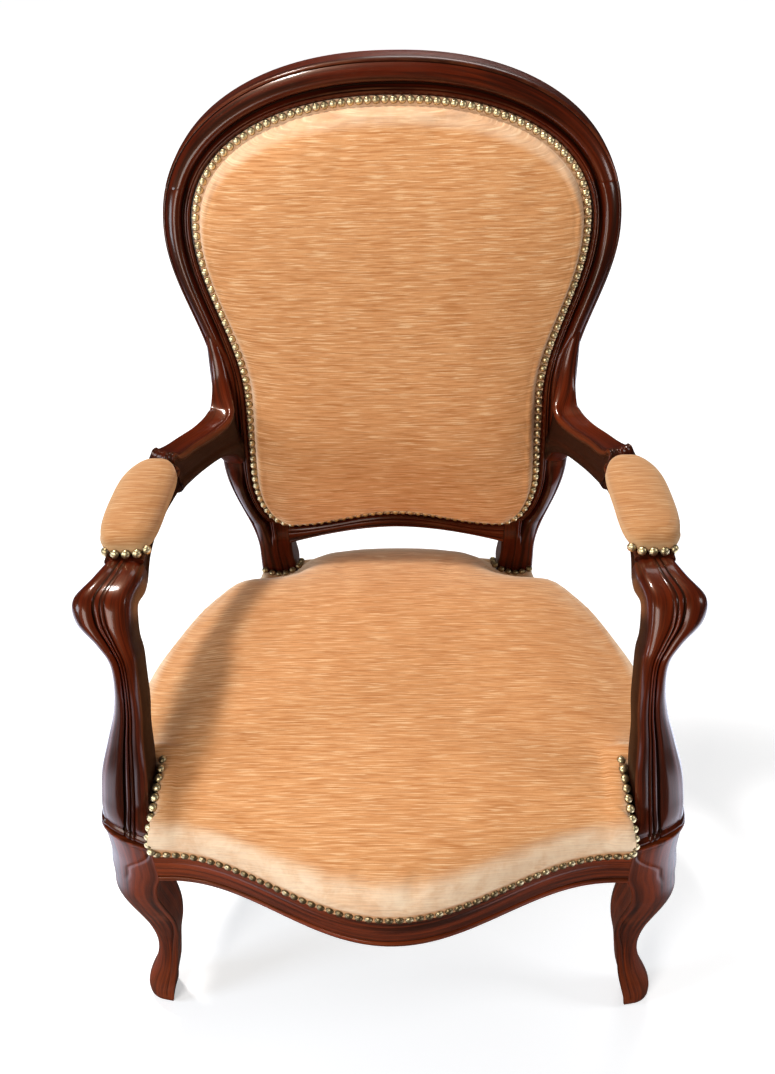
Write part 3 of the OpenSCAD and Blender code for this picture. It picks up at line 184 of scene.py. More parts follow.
def smooth_rings(rings: Array, per: int) -> Array:
    """Closed curves through the points of each ring, with per points for each given one.

    Each span is a cubic whose end tangents come from the neighbouring points, weighted by the
    square roots of the chords, so that crowded points don't overshoot.

    Args:
        rings: points (m, n, k) or one ring (n, k).
        per: points made for each given point.

    Returns:
        Points (m, n * per, k), or one ring.
    """
    single = rings.ndim == 2
    p1 = rings[None] if single else rings
    p0, p2, p3 = np.roll(p1, 1, 1), np.roll(p1, -1, 1), np.roll(p1, -2, 1)

    def chord(a: Array, b: Array) -> Array:
        """Square root of the distance between two sets of points."""
        return np.sqrt(np.maximum(np.linalg.norm(b - a, axis=2, keepdims=True), 1e-6))

    d01, d12, d23 = chord(p0, p1), chord(p1, p2), chord(p2, p3)
    start = d12 * ((p1 - p0) / d01 - (p2 - p0) / (d01 + d12) + (p2 - p1) / d12)
    end = d12 * ((p2 - p1) / d12 - (p3 - p1) / (d12 + d23) + (p3 - p2) / d23)
    u = (np.arange(per) / per)[None, None, :, None]
    made = (
        p1[:, :, None] * (2 * u**3 - 3 * u**2 + 1) + start[:, :, None] * (u**3 - 2 * u**2 + u)
        + p2[:, :, None] * (3 * u**2 - 2 * u**3) + end[:, :, None] * (u**3 - u**2)
    )
    made = made.reshape(p1.shape[0], -1, p1.shape[2])
    return made[0] if single else made


# Meshes

@dataclass
class Shell:
    """One closed surface, or several, with the marks that its finish reads.

    Attributes:
        points: places (N, 3) in millimetres.
        quads: four-sided faces (M, 4).
        quad_lay: their UV corners (M, 4, 2) in metres, u along the piece and v round it.
        triangles: three-sided faces (K, 3).
        triangle_lay: their UV corners (K, 3, 2).
        worn: for each point of wood how convex (above 0) or hollow (below 0)
        the surface is, shown as wear where convex and as painted shade where hollow; for velvet
        1 where the cloth rolls over an edge, which gets a pale painted sheen, and 0 inside.
    """

    points: Array
    quads: Array
    quad_lay: Array
    triangles: Array
    triangle_lay: Array
    worn: Array

    def volume(self) -> float:
        """Signed volume, positive where the faces point outwards."""
        p = self.points
        corners = np.vstack([self.quads[:, [0, 1, 2]], self.quads[:, [0, 2, 3]], self.triangles])
        a, b, c = p[corners[:, 0]], p[corners[:, 1]], p[corners[:, 2]]
        return float(np.einsum("ij,ij->i", a, np.cross(b, c)).sum() / 6)

    def turned(self) -> "Shell":
        """A copy whose faces look the other way."""
        return Shell(self.points, self.quads[:, ::-1], self.quad_lay[:, ::-1],
                     self.triangles[:, ::-1], self.triangle_lay[:, ::-1], self.worn)

    def outward(self) -> "Shell":
        """The same shell with its faces turned outwards."""
        return self.turned() if self.volume() < 0 else self

    def mirrored(self) -> "Shell":
        """A copy on the other side of the middle plane, its faces turned to suit."""
        return replace(self.turned(), points=self.points * FLIP)

    def marked(self, mark: Array) -> "Shell":
        """The same shell with its mark given for each ring of a tube, or for each of its points."""
        per = (len(self.points) - 2) // len(mark)
        rows = np.repeat(mark[:, None], per, 1) if mark.ndim == 1 else mark
        self.worn = np.concatenate([rows.ravel(), rows[[0, -1], 0]])
        return self

    def laid(self, u: Array, v: Array) -> "Shell":
        """A copy whose UV is given for each point instead, in millimetres."""
        lay = np.stack([u, v], axis=1) * MM
        return replace(self, quad_lay=lay[self.quads], triangle_lay=lay[self.triangles])


def join(shells: list[Shell]) -> Shell:
    """Several shells as one.

    Args:
        shells: the shells, each with its own points.

    Returns:
        One shell whose face numbers count on from shell to shell.
    """
    starts = np.concatenate([[0], np.cumsum([len(s.points) for s in shells])[:-1]]).astype(int)
    return Shell(
        np.vstack([s.points for s in shells]),
        np.vstack([s.quads + a for s, a in zip(shells, starts)]),
        np.vstack([s.quad_lay for s in shells]),
        np.vstack([s.triangles + a for s, a in zip(shells, starts)]),
        np.vstack([s.triangle_lay for s in shells]),
        np.concatenate([s.worn for s in shells]),
    )


def roundness(rings: Array, reach: float = 4.0) -> Array:
    """How convex or hollow each ring is at each of its points, from -1 to 1.

    The turn of the line at a point over the mean length of its two sides is the curvature;
    it is multiplied by reach, limited and averaged with its neighbours.

    Args:
        rings: points (m, n, 3).
        reach: radius in millimetres at which the measure reaches 1.

    Returns:
        The measure (m, n).
    """
    before, after = rings - np.roll(rings, 1, 1), np.roll(rings, -1, 1) - rings
    out = rings - rings.mean(1, keepdims=True)
    axis = unit(np.cross(out, np.roll(out, -1, 1)).sum(1, keepdims=True))
    la, lb = np.linalg.norm(before, axis=2), np.linalg.norm(after, axis=2)
    turn = (np.cross(before, after) * axis).sum(2) / np.maximum(la * lb, 1e-9)
    bend = np.clip(turn / np.maximum((la + lb) / 2, 0.05) * reach, -1, 1)
    for _ in range(2):
        bend = (np.roll(bend, 1, 1) + 2 * bend + np.roll(bend, -1, 1)) / 4
    return bend


def cells(index: Array) -> Array:
    """Four-sided faces (M, 4) between neighbouring closed rows of point numbers (m, n)."""
    beside = np.roll(index, -1, 1)
    return np.stack([index[:-1], beside[:-1], beside[1:], index[1:]], -1).reshape(-1, 4)


def tube(rings: Array, per: int = 1) -> Shell:
    """A skin over a stack of closed rings, closed at both ends by fans to their middles.

    Args:
        rings: points (m, n, 3).
        per: how finely each ring is smoothed first.

    Returns:
        The shell, facing outwards.
    """
    if per > 1:
        rings = smooth_rings(rings, per)
    m, n = rings.shape[:2]
    quads = cells(np.arange(m * n).reshape(m, n))
    run = np.linalg.norm(np.diff(rings, axis=0), axis=2).mean(1)
    along = np.concatenate([[0.0], np.cumsum(run)]) * MM
    side = np.linalg.norm(np.roll(rings, -1, 1) - rings, axis=2).mean(0)
    around = np.concatenate([[0.0], np.cumsum(side)]) * MM
    u0, v0 = np.meshgrid(along[:-1], around[:-1], indexing="ij")
    u1, v1 = np.meshgrid(along[1:], around[1:], indexing="ij")
    quad_lay = np.stack([np.stack([u0, v0], -1), np.stack([u0, v1], -1),
                         np.stack([u1, v1], -1), np.stack([u1, v0], -1)], 2).reshape(-1, 4, 2)
    points = np.vstack([rings.reshape(-1, 3), rings[0].mean(0), rings[-1].mean(0)])
    turn, i = np.roll(np.arange(n), -1), np.arange(n)
    foot = np.stack([np.full(n, m * n), turn, i], 1)
    head = np.stack([np.full(n, m * n + 1), (m - 1) * n + i, (m - 1) * n + turn], 1)
    triangles = np.vstack([foot, head])
    flat = np.vstack([rings[0], rings[-1]])
    spread = np.stack([flat[:, 0] + flat[:, 2], flat[:, 1]], 1) * MM
    lay = np.vstack([np.zeros((m * n, 2)), spread[:n].mean(0), spread[n:].mean(0)])
    lay[:n], lay[(m - 1) * n:m * n] = spread[:n], spread[n:]
    worn = np.concatenate([roundness(rings).ravel(), [0.0, 0.0]])
    return Shell(points, quads, quad_lay, triangles, lay[triangles], worn).outward()


def normals(rings: Array) -> Array:
    """Unit directions square to a grid of rings, pointing away from the middle of each ring."""
    around = np.roll(rings, -1, 1) - np.roll(rings, 1, 1)
    n = unit(np.cross(around, np.gradient(rings, axis=0)))
    away = (n * (rings - rings.mean(1, keepdims=True))).sum(axis=(1, 2), keepdims=True)
    return n * np.where(away < 0, -1.0, 1.0)


def carved(rings: Array, height: Array) -> Array:
    """Rings moved along their normals by a height (m, n) in millimetres."""
    return rings + normals(rings) * height[:, :, None]


def revolve(profile: Array, centre: Array, segments: int) -> Shell:
    """A profile of [radius, height] points turned about an upright axis at centre.

    Args:
        profile: points (N, 2).
        centre: place (3,) of the axis at height 0.
        segments: sides of the turned form.

    Returns:
        The shell.
    """
    t = np.linspace(0, 2 * np.pi, segments, endpoint=False)
    radius, height = profile[:, :1], profile[:, 1:]
    return tube(grid(radius * np.cos(t), radius * np.sin(t), height) + centre)


def domes(places: Array, facing: Array, width: float, seed: int, dark: int = 0) -> Shell:
    """Nail heads: one low dome at each place, each tilted and sized a little differently.

    A head is a grid of rings r = sin(a), h = 0.36 cos(a) of the width, with a flat back.

    Args:
        places: middles of the backs (N, 3).
        facing: directions (N, 3) that the heads look in.
        width: their diameter.
        seed: seed of the small differences.
        dark: how many of the first heads are made dark all over.

    Returns:
        All heads as one shell. Its UV holds [share of the radius, a number for each head], which
        is over 1 for the dark ones.
    """
    draw = np.random.default_rng(seed)
    count, n = len(places), 12
    tilt = draw.normal(0, 0.07, (count, 3))
    size = 1 + draw.normal(0, 0.012, count)
    shade = draw.uniform(0, 1, count) + np.where(np.arange(count) < dark, 1.2, 0.0)
    size = np.where(np.arange(count) < dark, 0.93, 1.0) * size
    z = unit(unit(facing) + tilt)
    x = unit(np.cross(z, np.where(np.abs(z[:, 2:]) > 0.9, [[1.0, 0, 0]], [[0.0, 0, 1.0]])))
    y = np.cross(z, x)
    angle = np.radians([90, 66, 42, 20])
    share, rise = np.sin(angle), 0.36 * np.cos(angle)
    t = np.linspace(0, 2 * np.pi, n, endpoint=False)
    ring = grid(np.outer(share, np.cos(t)) / 2, np.outer(share, np.sin(t)) / 2,
                rise[:, None]).reshape(-1, 3)
    local = np.vstack([ring, [[0, 0, 0.36], [0, 0, 0]]]) * width
    basis = np.stack([x, y, z], 1)
    world = places[:, None] + np.einsum("pk,nkj->npj", local, basis) * size[:, None, None]
    rows = len(angle)
    quads = cells(np.arange(rows * n).reshape(rows, n))
    i = np.arange(n)
    top = np.stack([(rows - 1) * n + i, (rows - 1) * n + np.roll(i, -1), np.full(n, rows * n)], 1)
    back = np.stack([np.roll(i, -1), i, np.full(n, rows * n + 1)], 1)
    triangles = np.vstack([top, back])
    per = len(local)
    shift = (np.arange(count) * per)[:, None, None]
    radial = np.concatenate([np.repeat(share, n), [0.0, 1.0]])
    lay = np.stack([np.tile(radial, count), np.repeat(shade, per)], 1)
    quads = (quads[None] + shift).reshape(-1, 4)
    triangles = (triangles[None] + shift).reshape(-1, 3)
    return Shell(world.reshape(-1, 3), quads, lay[quads], triangles, lay[triangles],
                 np.zeros(count * per)).outward()


# Node trees

class Tree:
    """Short hand for filling a material's or a group's node tree."""

    def __init__(self, tree: bpy.types.NodeTree) -> None:
        """Starts with an empty tree."""
        tree.nodes.clear()
        self.tree = tree

    def add(self, kind: str, **settings: object) -> bpy.types.Node:
        """A new node of a kind, with its plain settings."""
        node = self.tree.nodes.new(kind)
        for name, value in settings.items():
            setattr(node, name, value)
        return node

    def feed(self, socket: bpy.types.NodeSocket, value: object) -> None:
        """Links a socket to another one, or sets its plain value."""
        if isinstance(value, bpy.types.NodeSocket):
            self.tree.links.new(value, socket)
        elif isinstance(value, tuple) and len(value) == 3 and socket.type == "RGBA":
            socket.default_value = (*value, 1.0)
        else:
            socket.default_value = value

    def calc(self, operation: str, a: object, b: object = 0.0) -> bpy.types.NodeSocket:
        """A maths node."""
        node = self.add("ShaderNodeMath", operation=operation)
        self.feed(node.inputs[0], a)
        self.feed(node.inputs[1], b)
        return node.outputs[0]

    def times(self, a: object, b: object) -> bpy.types.NodeSocket:
        """The product of two numbers."""
        return self.calc("MULTIPLY", a, b)

    def plus(self, a: object, b: object) -> bpy.types.NodeSocket:
        """The sum of two numbers."""
        return self.calc("ADD", a, b)

    def place(self) -> bpy.types.NodeSocket:
        """The point's Object coordinates."""
        return self.add("ShaderNodeTexCoord").outputs["Object"]

    def lay(self) -> bpy.types.NodeSocket:
        """The point's place in the piece's own UV map."""
        return self.add("ShaderNodeUVMap", uv_map="lay").outputs[0]

    def worn(self) -> bpy.types.NodeSocket:
        """The point's mark."""
        return self.add("ShaderNodeAttribute", attribute_name="worn").outputs["Fac"]

    def settle(self, node: bpy.types.Node, values: dict[str, object]) -> None:
        """Feeds several of a node's sockets by their names."""
        for name, value in values.items():
            self.feed(node.inputs[name], value)

    def ramp(self, factor: object, low: float, high: float) -> bpy.types.NodeSocket:
        """0 below low, 1 above high and smooth between."""
        node = self.add("ShaderNodeMapRange", interpolation_type="SMOOTHSTEP")
        self.settle(node, {"Value": factor, "From Min": low, "From Max": high})
        return node.outputs["Result"]

    def blend(self, factor: object, a: object, b: object, how: str = "MIX") -> bpy.types.NodeSocket:
        """Two colours mixed by a factor."""
        node = self.add("ShaderNodeMix", data_type="RGBA", blend_type=how)
        self.feed(node.inputs["Factor"], factor)
        self.feed(node.inputs[6], a)
        self.feed(node.inputs[7], b)
        return node.outputs[2]

    def scaled(self, vector: object, scale: tuple[float, float, float],
               move: tuple[float, float, float] = (0, 0, 0)) -> bpy.types.NodeSocket:
        """A vector multiplied and moved by a Mapping node."""
        node = self.add("ShaderNodeMapping")
        self.settle(node, {"Vector": vector, "Scale": scale, "Location": move})
        return node.outputs[0]

    def noise(self, vector: object, detail: float = 3.0, rough: float = 0.55,
              bend: float = 0.0) -> bpy.types.NodeSocket:
        """Smooth noise of about 1 unit, from 0 to 1."""
        node = self.add("ShaderNodeTexNoise")
        self.settle(node, {"Vector": vector, "Scale": 1.0, "Detail": detail,
                           "Roughness": rough, "Distortion": bend})
        return node.outputs["Fac"]


class Effect(Enum):
    """Node groups that more than one finish uses."""

    GRAIN = "wood grain"
    # The group for edge wear also paints shade into hollows.
    RUBBED = "rubbed edges"
    STREAKS = "velvet streaks"
    WEAVE = "plain weave"


def group(effect: Effect, inputs: dict[str, object], outputs: tuple[str, ...]) -> Tree:
    """An empty node group with named sockets.

    Args:
        effect: the group's name.
        inputs: name of each input with its plain value: a number, a colour or None for a vector.
        outputs: names of the outputs; one that ends in "Colour" is a colour.

    Returns:
        The tree, with its Group Input and Group Output as .source and .sink.
    """
    made = bpy.data.node_groups.new(effect.value, "ShaderNodeTree")
    for name, value in inputs.items():
        kind = ("NodeSocketVector" if value is None
                else "NodeSocketColor" if isinstance(value, tuple) else "NodeSocketFloat")
        socket = made.interface.new_socket(name=name, in_out="INPUT", socket_type=kind)
        if value is not None:
            socket.default_value = (*value, 1.0) if isinstance(value, tuple) else value
    for name in outputs:
        kind = "NodeSocketColor" if name.endswith("Colour") else "NodeSocketFloat"
        made.interface.new_socket(name=name, in_out="OUTPUT", socket_type=kind)
    tree = Tree(made)
    tree.source, tree.sink = tree.add("NodeGroupInput"), tree.add("NodeGroupOutput")
    return tree


def build_grain() -> None:
    """Wood figure: long streaks, fine pores and slow changes of tint along the piece."""
    t = group(Effect.GRAIN, {"Vector": None, "Dark": (0, 0, 0), "Middle": (0, 0, 0),
                             "Light": (0, 0, 0)}, ("Colour", "Height"))
    v = t.source.outputs
    streak = t.noise(t.scaled(v["Vector"], (5, 150, 1)), 4, 0.6, 0.4)
    fine = t.noise(t.scaled(v["Vector"], (14, 620, 1), (3, 1, 0)), 3, 0.6)
    slow = t.noise(t.scaled(v["Vector"], (4, 9, 1), (7, 5, 2)), 2, 0.5, 0.6)
    base = t.blend(t.ramp(streak, 0.32, 0.68), v["Dark"], v["Middle"])
    lit = t.times(t.ramp(slow, 0.42, 0.72), t.ramp(fine, 0.3, 0.75))
    base = t.blend(lit, base, v["Light"])
    pore = t.noise(t.scaled(v["Vector"], (70, 2300, 1), (1, 8, 0)), 1, 0.5)
    pits = t.ramp(pore, 0.62, 0.7)
    base = t.blend(t.times(pits, 0.4), base, v["Dark"])
    t.feed(t.sink.inputs["Colour"], base)
    t.feed(t.sink.inputs["Height"], t.calc("SUBTRACT", t.times(fine, 0.3), pits))


def build_wear_and_shade() -> None:
    """Edge wear and painted shade: rubbed edges go towards a light tint, and hollows towards a
    dark one, which paints shade into them.
    """
    t = group(Effect.RUBBED, {"Colour": (0, 0, 0), "Edge": (0, 0, 0), "Hollow": (0, 0, 0),
                              "Worn": 0.0, "Vector": None, "Amount": 0.5}, ("Colour", "Dull"))
    v = t.source.outputs
    patch = t.ramp(t.noise(t.scaled(v["Vector"], (26, 26, 26)), 3, 0.6), 0.35, 0.75)
    edge = t.times(t.times(t.ramp(v["Worn"], 0.35, 0.95), patch), v["Amount"])
    # Painted shade: hollows, and inner sides marked as hollow, go towards the near-black Hollow
    # colour.
    hollow = t.ramp(t.times(v["Worn"], -1.0), 0.12, 0.8)
    made = t.blend(t.times(hollow, 0.85), v["Colour"], v["Hollow"])
    made = t.blend(edge, made, v["Edge"])
    t.feed(t.sink.inputs["Colour"], made)
    t.feed(t.sink.inputs["Dull"], t.calc("MAXIMUM", t.times(hollow, 0.95), edge))


def build_streaks() -> None:
    """Velvet with a slubbed weft: short pale and deep streaks across, and brushed patches."""
    t = group(Effect.STREAKS, {"Vector": None, "Base": (0, 0, 0), "Pale": (0, 0, 0),
                               "Deep": (0, 0, 0), "Brushed": 0.3}, ("Colour", "Height"))
    v = t.source.outputs
    wide = t.noise(t.scaled(v["Vector"], (22, 430, 1)), 2.5, 0.62, 0.35)
    thin = t.noise(t.scaled(v["Vector"], (52, 1050, 1), (4, 2, 0)), 2, 0.6, 0.2)
    slub = t.noise(t.scaled(v["Vector"], (30, 640, 1), (9, 4, 0)), 2, 0.5, 0.2)
    cross = t.noise(t.scaled(v["Vector"], (1300, 210, 1), (6, 3, 0)), 2, 0.6)
    patch = t.noise(t.scaled(v["Vector"], (5, 5, 1), (2, 6, 0)), 3, 0.55, 0.5)
    made = t.blend(t.ramp(wide, 0.3, 0.62), v["Deep"], v["Base"])
    made = t.blend(t.times(t.ramp(slub, 0.52, 0.70), 0.8), made, v["Pale"])
    made = t.blend(t.times(t.ramp(thin, 0.5, 0.8), 0.3), made, v["Pale"])
    made = t.blend(t.times(t.ramp(cross, 0.5, 0.8), 0.35), made, v["Deep"])
    brush = t.times(t.ramp(patch, 0.45, 0.75), v["Brushed"])
    made = t.blend(brush, made, v["Deep"])
    pile = t.noise(t.scaled(v["Vector"], (1500, 1500, 1)), 1, 0.5)
    t.feed(t.sink.inputs["Colour"], made)
    t.feed(t.sink.inputs["Height"], t.plus(t.times(wide, 0.6), t.times(pile, 0.5)))


def build_weave() -> None:
    """Plain weave: threads over and under each other, as the product of two waves."""
    t = group(Effect.WEAVE, {"Vector": None, "Light": (0, 0, 0), "Dark": (0, 0, 0)},
              ("Colour", "Height"))
    v = t.source.outputs
    part = t.add("ShaderNodeSeparateXYZ")
    t.feed(part.inputs[0], v["Vector"])
    warp = t.calc("ABSOLUTE", t.calc("SINE", t.times(part.outputs[0], math.pi)))
    weft = t.calc("ABSOLUTE", t.calc("SINE", t.times(part.outputs[1], math.pi)))
    both = t.times(warp, weft)
    thread = t.noise(t.scaled(v["Vector"], (0.5, 0.5, 0.5)), 2, 0.6)
    t.feed(t.sink.inputs["Colour"],
           t.blend(t.times(both, t.ramp(thread, 0.2, 0.8)), v["Dark"], v["Light"]))
    t.feed(t.sink.inputs["Height"], both)


@dataclass(frozen=True)
class Finish:
    """What every finish has: a name and the name of a slot in the record."""

    name: str
    slot: str

    def begin(self) -> tuple[bpy.types.Material, Tree, bpy.types.Node]:
        """A material with an output and an empty Principled shader.

        Returns:
            The material, its tree and the shader.
        """
        material = bpy.data.materials.new(self.name)
        material.use_nodes = True
        tree = Tree(material.node_tree)
        out = tree.add("ShaderNodeOutputMaterial")
        shader = tree.add("ShaderNodeBsdfPrincipled")
        tree.feed(out.inputs["Surface"], shader.outputs[0])
        return material, tree, shader

    def use(self, tree: Tree, effect: Effect, **values: object) -> bpy.types.Node:
        """Places a shared effect in a tree, with its own values."""
        node = tree.add("ShaderNodeGroup", node_tree=bpy.data.node_groups[effect.value])
        tree.settle(node, values)
        return node

    def relief(self, tree: Tree, shader: bpy.types.Node, height: object, depth: float,
               strength: float) -> None:
        """Feeds a height to the shader's normal through a Bump node."""
        node = tree.add("ShaderNodeBump")
        tree.settle(node, {"Strength": strength, "Distance": depth * MM, "Height": height})
        tree.feed(shader.inputs["Normal"], node.outputs[0])


@dataclass(frozen=True)
class PolishedWood(Finish):
    """French polished mahogany: grain under a clear coat, with painted shade in the hollows."""

    dark: Colour = (0.016, 0.0024, 0.0010)
    middle: Colour = (0.078, 0.0074, 0.0013)
    light: Colour = (0.165, 0.0200, 0.0030)
    edge: Colour = (0.17, 0.050, 0.016)
    # Colour of the painted shade in hollows and on marked inner sides.
    hollow: Colour = (0.005, 0.0012, 0.0007)
    amount: float = 0.35
    gloss: float = 0.34
    coat: float = 0.4

    def build(self) -> bpy.types.Material:
        """The material, from the grain effect and the effect of edge wear and painted shade."""
        material, t, shader = self.begin()
        lay, place, worn = t.lay(), t.place(), t.worn()
        grain = self.use(t, Effect.GRAIN, Vector=lay, Dark=self.dark, Middle=self.middle,
                         Light=self.light)
        rub = self.use(t, Effect.RUBBED, Colour=grain.outputs["Colour"], Edge=self.edge,
                       Hollow=self.hollow, Worn=worn, Vector=place, Amount=self.amount)
        t.feed(shader.inputs["Base Color"], rub.outputs["Colour"])
        smear = t.ramp(t.noise(t.scaled(place, (34, 34, 34)), 3, 0.6), 0.3, 0.8)
        rough = t.plus(t.times(rub.outputs["Dull"], 0.22), t.plus(t.times(smear, 0.08), self.gloss))
        t.feed(shader.inputs["Roughness"], rough)
        t.feed(shader.inputs["Coat Weight"],
               t.times(t.calc("SUBTRACT", 1.0, rub.outputs["Dull"]), self.coat))
        t.settle(shader, {"Coat Roughness": 0.13, "Specular IOR Level": 0.22,
                          "Specular Tint": (1.0, 0.50, 0.24)})
        self.relief(t, shader, grain.outputs["Height"], 0.12, 0.35)
        return material


@dataclass(frozen=True)
class PlainWood(Finish):
    """Unpolished beech of blocks and dowels."""

    def build(self) -> bpy.types.Material:
        """The material, from the grain effect on Object coordinates."""
        material, t, shader = self.begin()
        place = t.place()
        grain = self.use(t, Effect.GRAIN, Vector=place, Dark=(0.30, 0.18, 0.09),
                         Middle=(0.50, 0.34, 0.19), Light=(0.62, 0.45, 0.27))
        t.settle(shader, {"Base Color": grain.outputs["Colour"], "Roughness": 0.7})
        self.relief(t, shader, grain.outputs["Height"], 0.2, 0.4)
        return material


@dataclass(frozen=True)
class Velvet(Finish):
    """Golden apricot velvet with slubbed streaks and a painted sheen: paler where the surface is
    seen at a slant, and where the cloth rolls over an edge as marked on each pad.
    """

    base: Colour = (0.67, 0.315, 0.122)
    pale: Colour = (0.86, 0.55, 0.29)
    deep: Colour = (0.48, 0.185, 0.055)
    # Colour of the painted sheen, seen at a slant and where the cloth rolls over an edge.
    rolled_sheen: Colour = (0.96, 0.78, 0.56)
    brushed: float = 0.35

    def build(self) -> bpy.types.Material:
        """The material, from the streaks effect, a painted sheen and the shader's sheen."""
        material, t, shader = self.begin()
        cloth = self.use(t, Effect.STREAKS, Vector=t.lay(), Base=self.base, Pale=self.pale,
                         Deep=self.deep, Brushed=self.brushed)
        # Painted sheen: the colour turns pale where the surface is seen at a slant, and on the
        # marked edges where the cloth rolls over.
        facing = t.add("ShaderNodeLayerWeight")
        t.feed(facing.inputs["Blend"], 0.35)
        rim = t.times(t.ramp(facing.outputs["Facing"], 0.25, 0.9), 0.45)
        worn, place = t.worn(), t.place()
        cloud = t.ramp(t.noise(t.scaled(place, (30, 30, 30)), 4, 0.65, 0.4), 0.25, 0.7)
        edge = t.times(t.ramp(worn, 0.25, 0.95), t.plus(t.times(cloud, 0.4), 0.35))
        colour = t.blend(t.calc("MAXIMUM", rim, edge), cloth.outputs["Colour"], self.rolled_sheen)
        t.settle(shader, {"Base Color": colour, "Roughness": 0.85, "Specular IOR Level": 0.15,
                          "Sheen Weight": 0.35, "Sheen Roughness": 0.45,
                          "Sheen Tint": (1.0, 0.84, 0.66)})
        self.relief(t, shader, cloth.outputs["Height"], 0.5, 0.5)
        return material


@dataclass(frozen=True)
class Woven(Finish):
    """Webbing, canvas or lining: a plain weave of a given thread."""

    light: Colour = (0.5, 0.4, 0.25)
    dark: Colour = (0.2, 0.14, 0.07)
    threads_per_metre: float = 900.0

    def build(self) -> bpy.types.Material:
        """The material, from the weave effect on Object coordinates."""
        material, t, shader = self.begin()
        place = t.place()
        n = self.threads_per_metre
        weave = self.use(t, Effect.WEAVE, Vector=t.scaled(place, (n, n, n)), Light=self.light,
                         Dark=self.dark)
        t.settle(shader, {"Base Color": weave.outputs["Colour"], "Roughness": 0.9})
        self.relief(t, shader, weave.outputs["Height"], 0.3, 0.6)
        return material


@dataclass(frozen=True)
class Metal(Finish):
    """Brass or steel; a nail head is tarnished towards its rim, and a few are dark all over."""

    bright: Colour = (0.84, 0.68, 0.38)
    dark: Colour = (0.13, 0.075, 0.026)
    gloss: float = 0.34
    nails: bool = False

    def build(self) -> bpy.types.Material:
        """The material: tint and roughness wander, and nail rims and single heads are darker."""
        material, t, shader = self.begin()
        cloud = t.noise(t.scaled(t.place(), (400, 400, 400)), 3, 0.6)
        stain = t.times(t.ramp(cloud, 0.35, 0.85), 0.4)
        if self.nails:
            part = t.add("ShaderNodeSeparateXYZ")
            t.feed(part.inputs[0], t.lay())
            rim = t.times(t.ramp(part.outputs[0], 0.8, 1.0), 0.8)
            single = t.times(t.ramp(part.outputs[1], 0.5, 1.0), 0.3)
            darkened_heads = t.times(t.ramp(part.outputs[1], 1.0, 1.6), 0.8)
            stain = t.calc("MAXIMUM", t.calc("MAXIMUM", t.plus(stain, single), rim), darkened_heads)
        t.settle(shader, {"Base Color": t.blend(stain, self.bright, self.dark), "Metallic": 1.0,
                          "Roughness": t.plus(t.times(cloud, 0.15), self.gloss)})
        self.relief(t, shader, cloud, 0.1, 0.2)
        return material


def link(name: str, data: bpy.types.ID) -> bpy.types.Object:
    """A new object in the scene."""
    made = bpy.data.objects.new(name, data)
    bpy.context.scene.collection.objects.link(made)
    return made


class Workshop:
    """Holds the finishes, places shells as objects and hides the CAD nodes that each stands for."""

    def __init__(self, finishes: list[Finish]) -> None:
        """Builds the shared effects and every finish.

        Args:
            finishes: the finishes of this chair.
        """
        for build in (build_grain, build_wear_and_shade, build_streaks, build_weave):
            build()
        self.finishes = {f.name: f for f in finishes}
        self.materials = {f.name: f.build() for f in finishes}

    def place(self, name: str, shell: Shell, finish: str, nodes: tuple[str, ...],
              sharp: float = SMOOTH_ANGLE) -> bpy.types.Object:
        """Puts a shell into the scene, dressed, riding on the root body.

        Args:
            name: the piece's name.
            shell: its surface in millimetres.
            finish: name of its finish.
            nodes: CAD nodes that it stands for.
            sharp: edges that turn by more than this stay sharp.

        Returns:
            The object.
        """
        mesh = bpy.data.meshes.new(name)
        mesh.from_pydata((shell.points * MM).tolist(), [],
                         shell.quads.tolist() + shell.triangles.tolist())
        lay = mesh.uv_layers.new(name="lay")
        corners = np.vstack([shell.quad_lay.reshape(-1, 2), shell.triangle_lay.reshape(-1, 2)])
        lay.data.foreach_set("uv", corners.astype(np.float32).ravel())
        mark = mesh.attributes.new("worn", "FLOAT", "POINT")
        mark.data.foreach_set("value", shell.worn.astype(np.float32))
        mesh.shade_smooth()
        mesh.set_sharp_from_angle(angle=sharp)
        mesh.materials.append(self.materials[finish])
        piece = link(name, mesh)
        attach(piece, "root")
        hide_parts(*nodes)
        LOG.info("%s: %d faces", name, len(shell.quads) + len(shell.triangles))
        return piece

    def pair(self, name: str, right: Shell, finish: str, node: str) -> None:
        """Places a right piece and its mirror image, each for the CAD node on its side."""
        for side, shell in (("right", right), ("left", right.mirrored())):
            self.place(f"{name}_{side}", shell, finish, (f"{node}_{side}",))

    def dress(self, node: str, finish: str) -> None:
        """Gives a CAD node that is shown as it is a finish."""
        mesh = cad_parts[node].data
        mesh.materials.clear()
        mesh.materials.append(self.materials[finish])
        LOG.info("%s: dressed as %s", node, finish)


# The chair's own lines, shared by its pieces

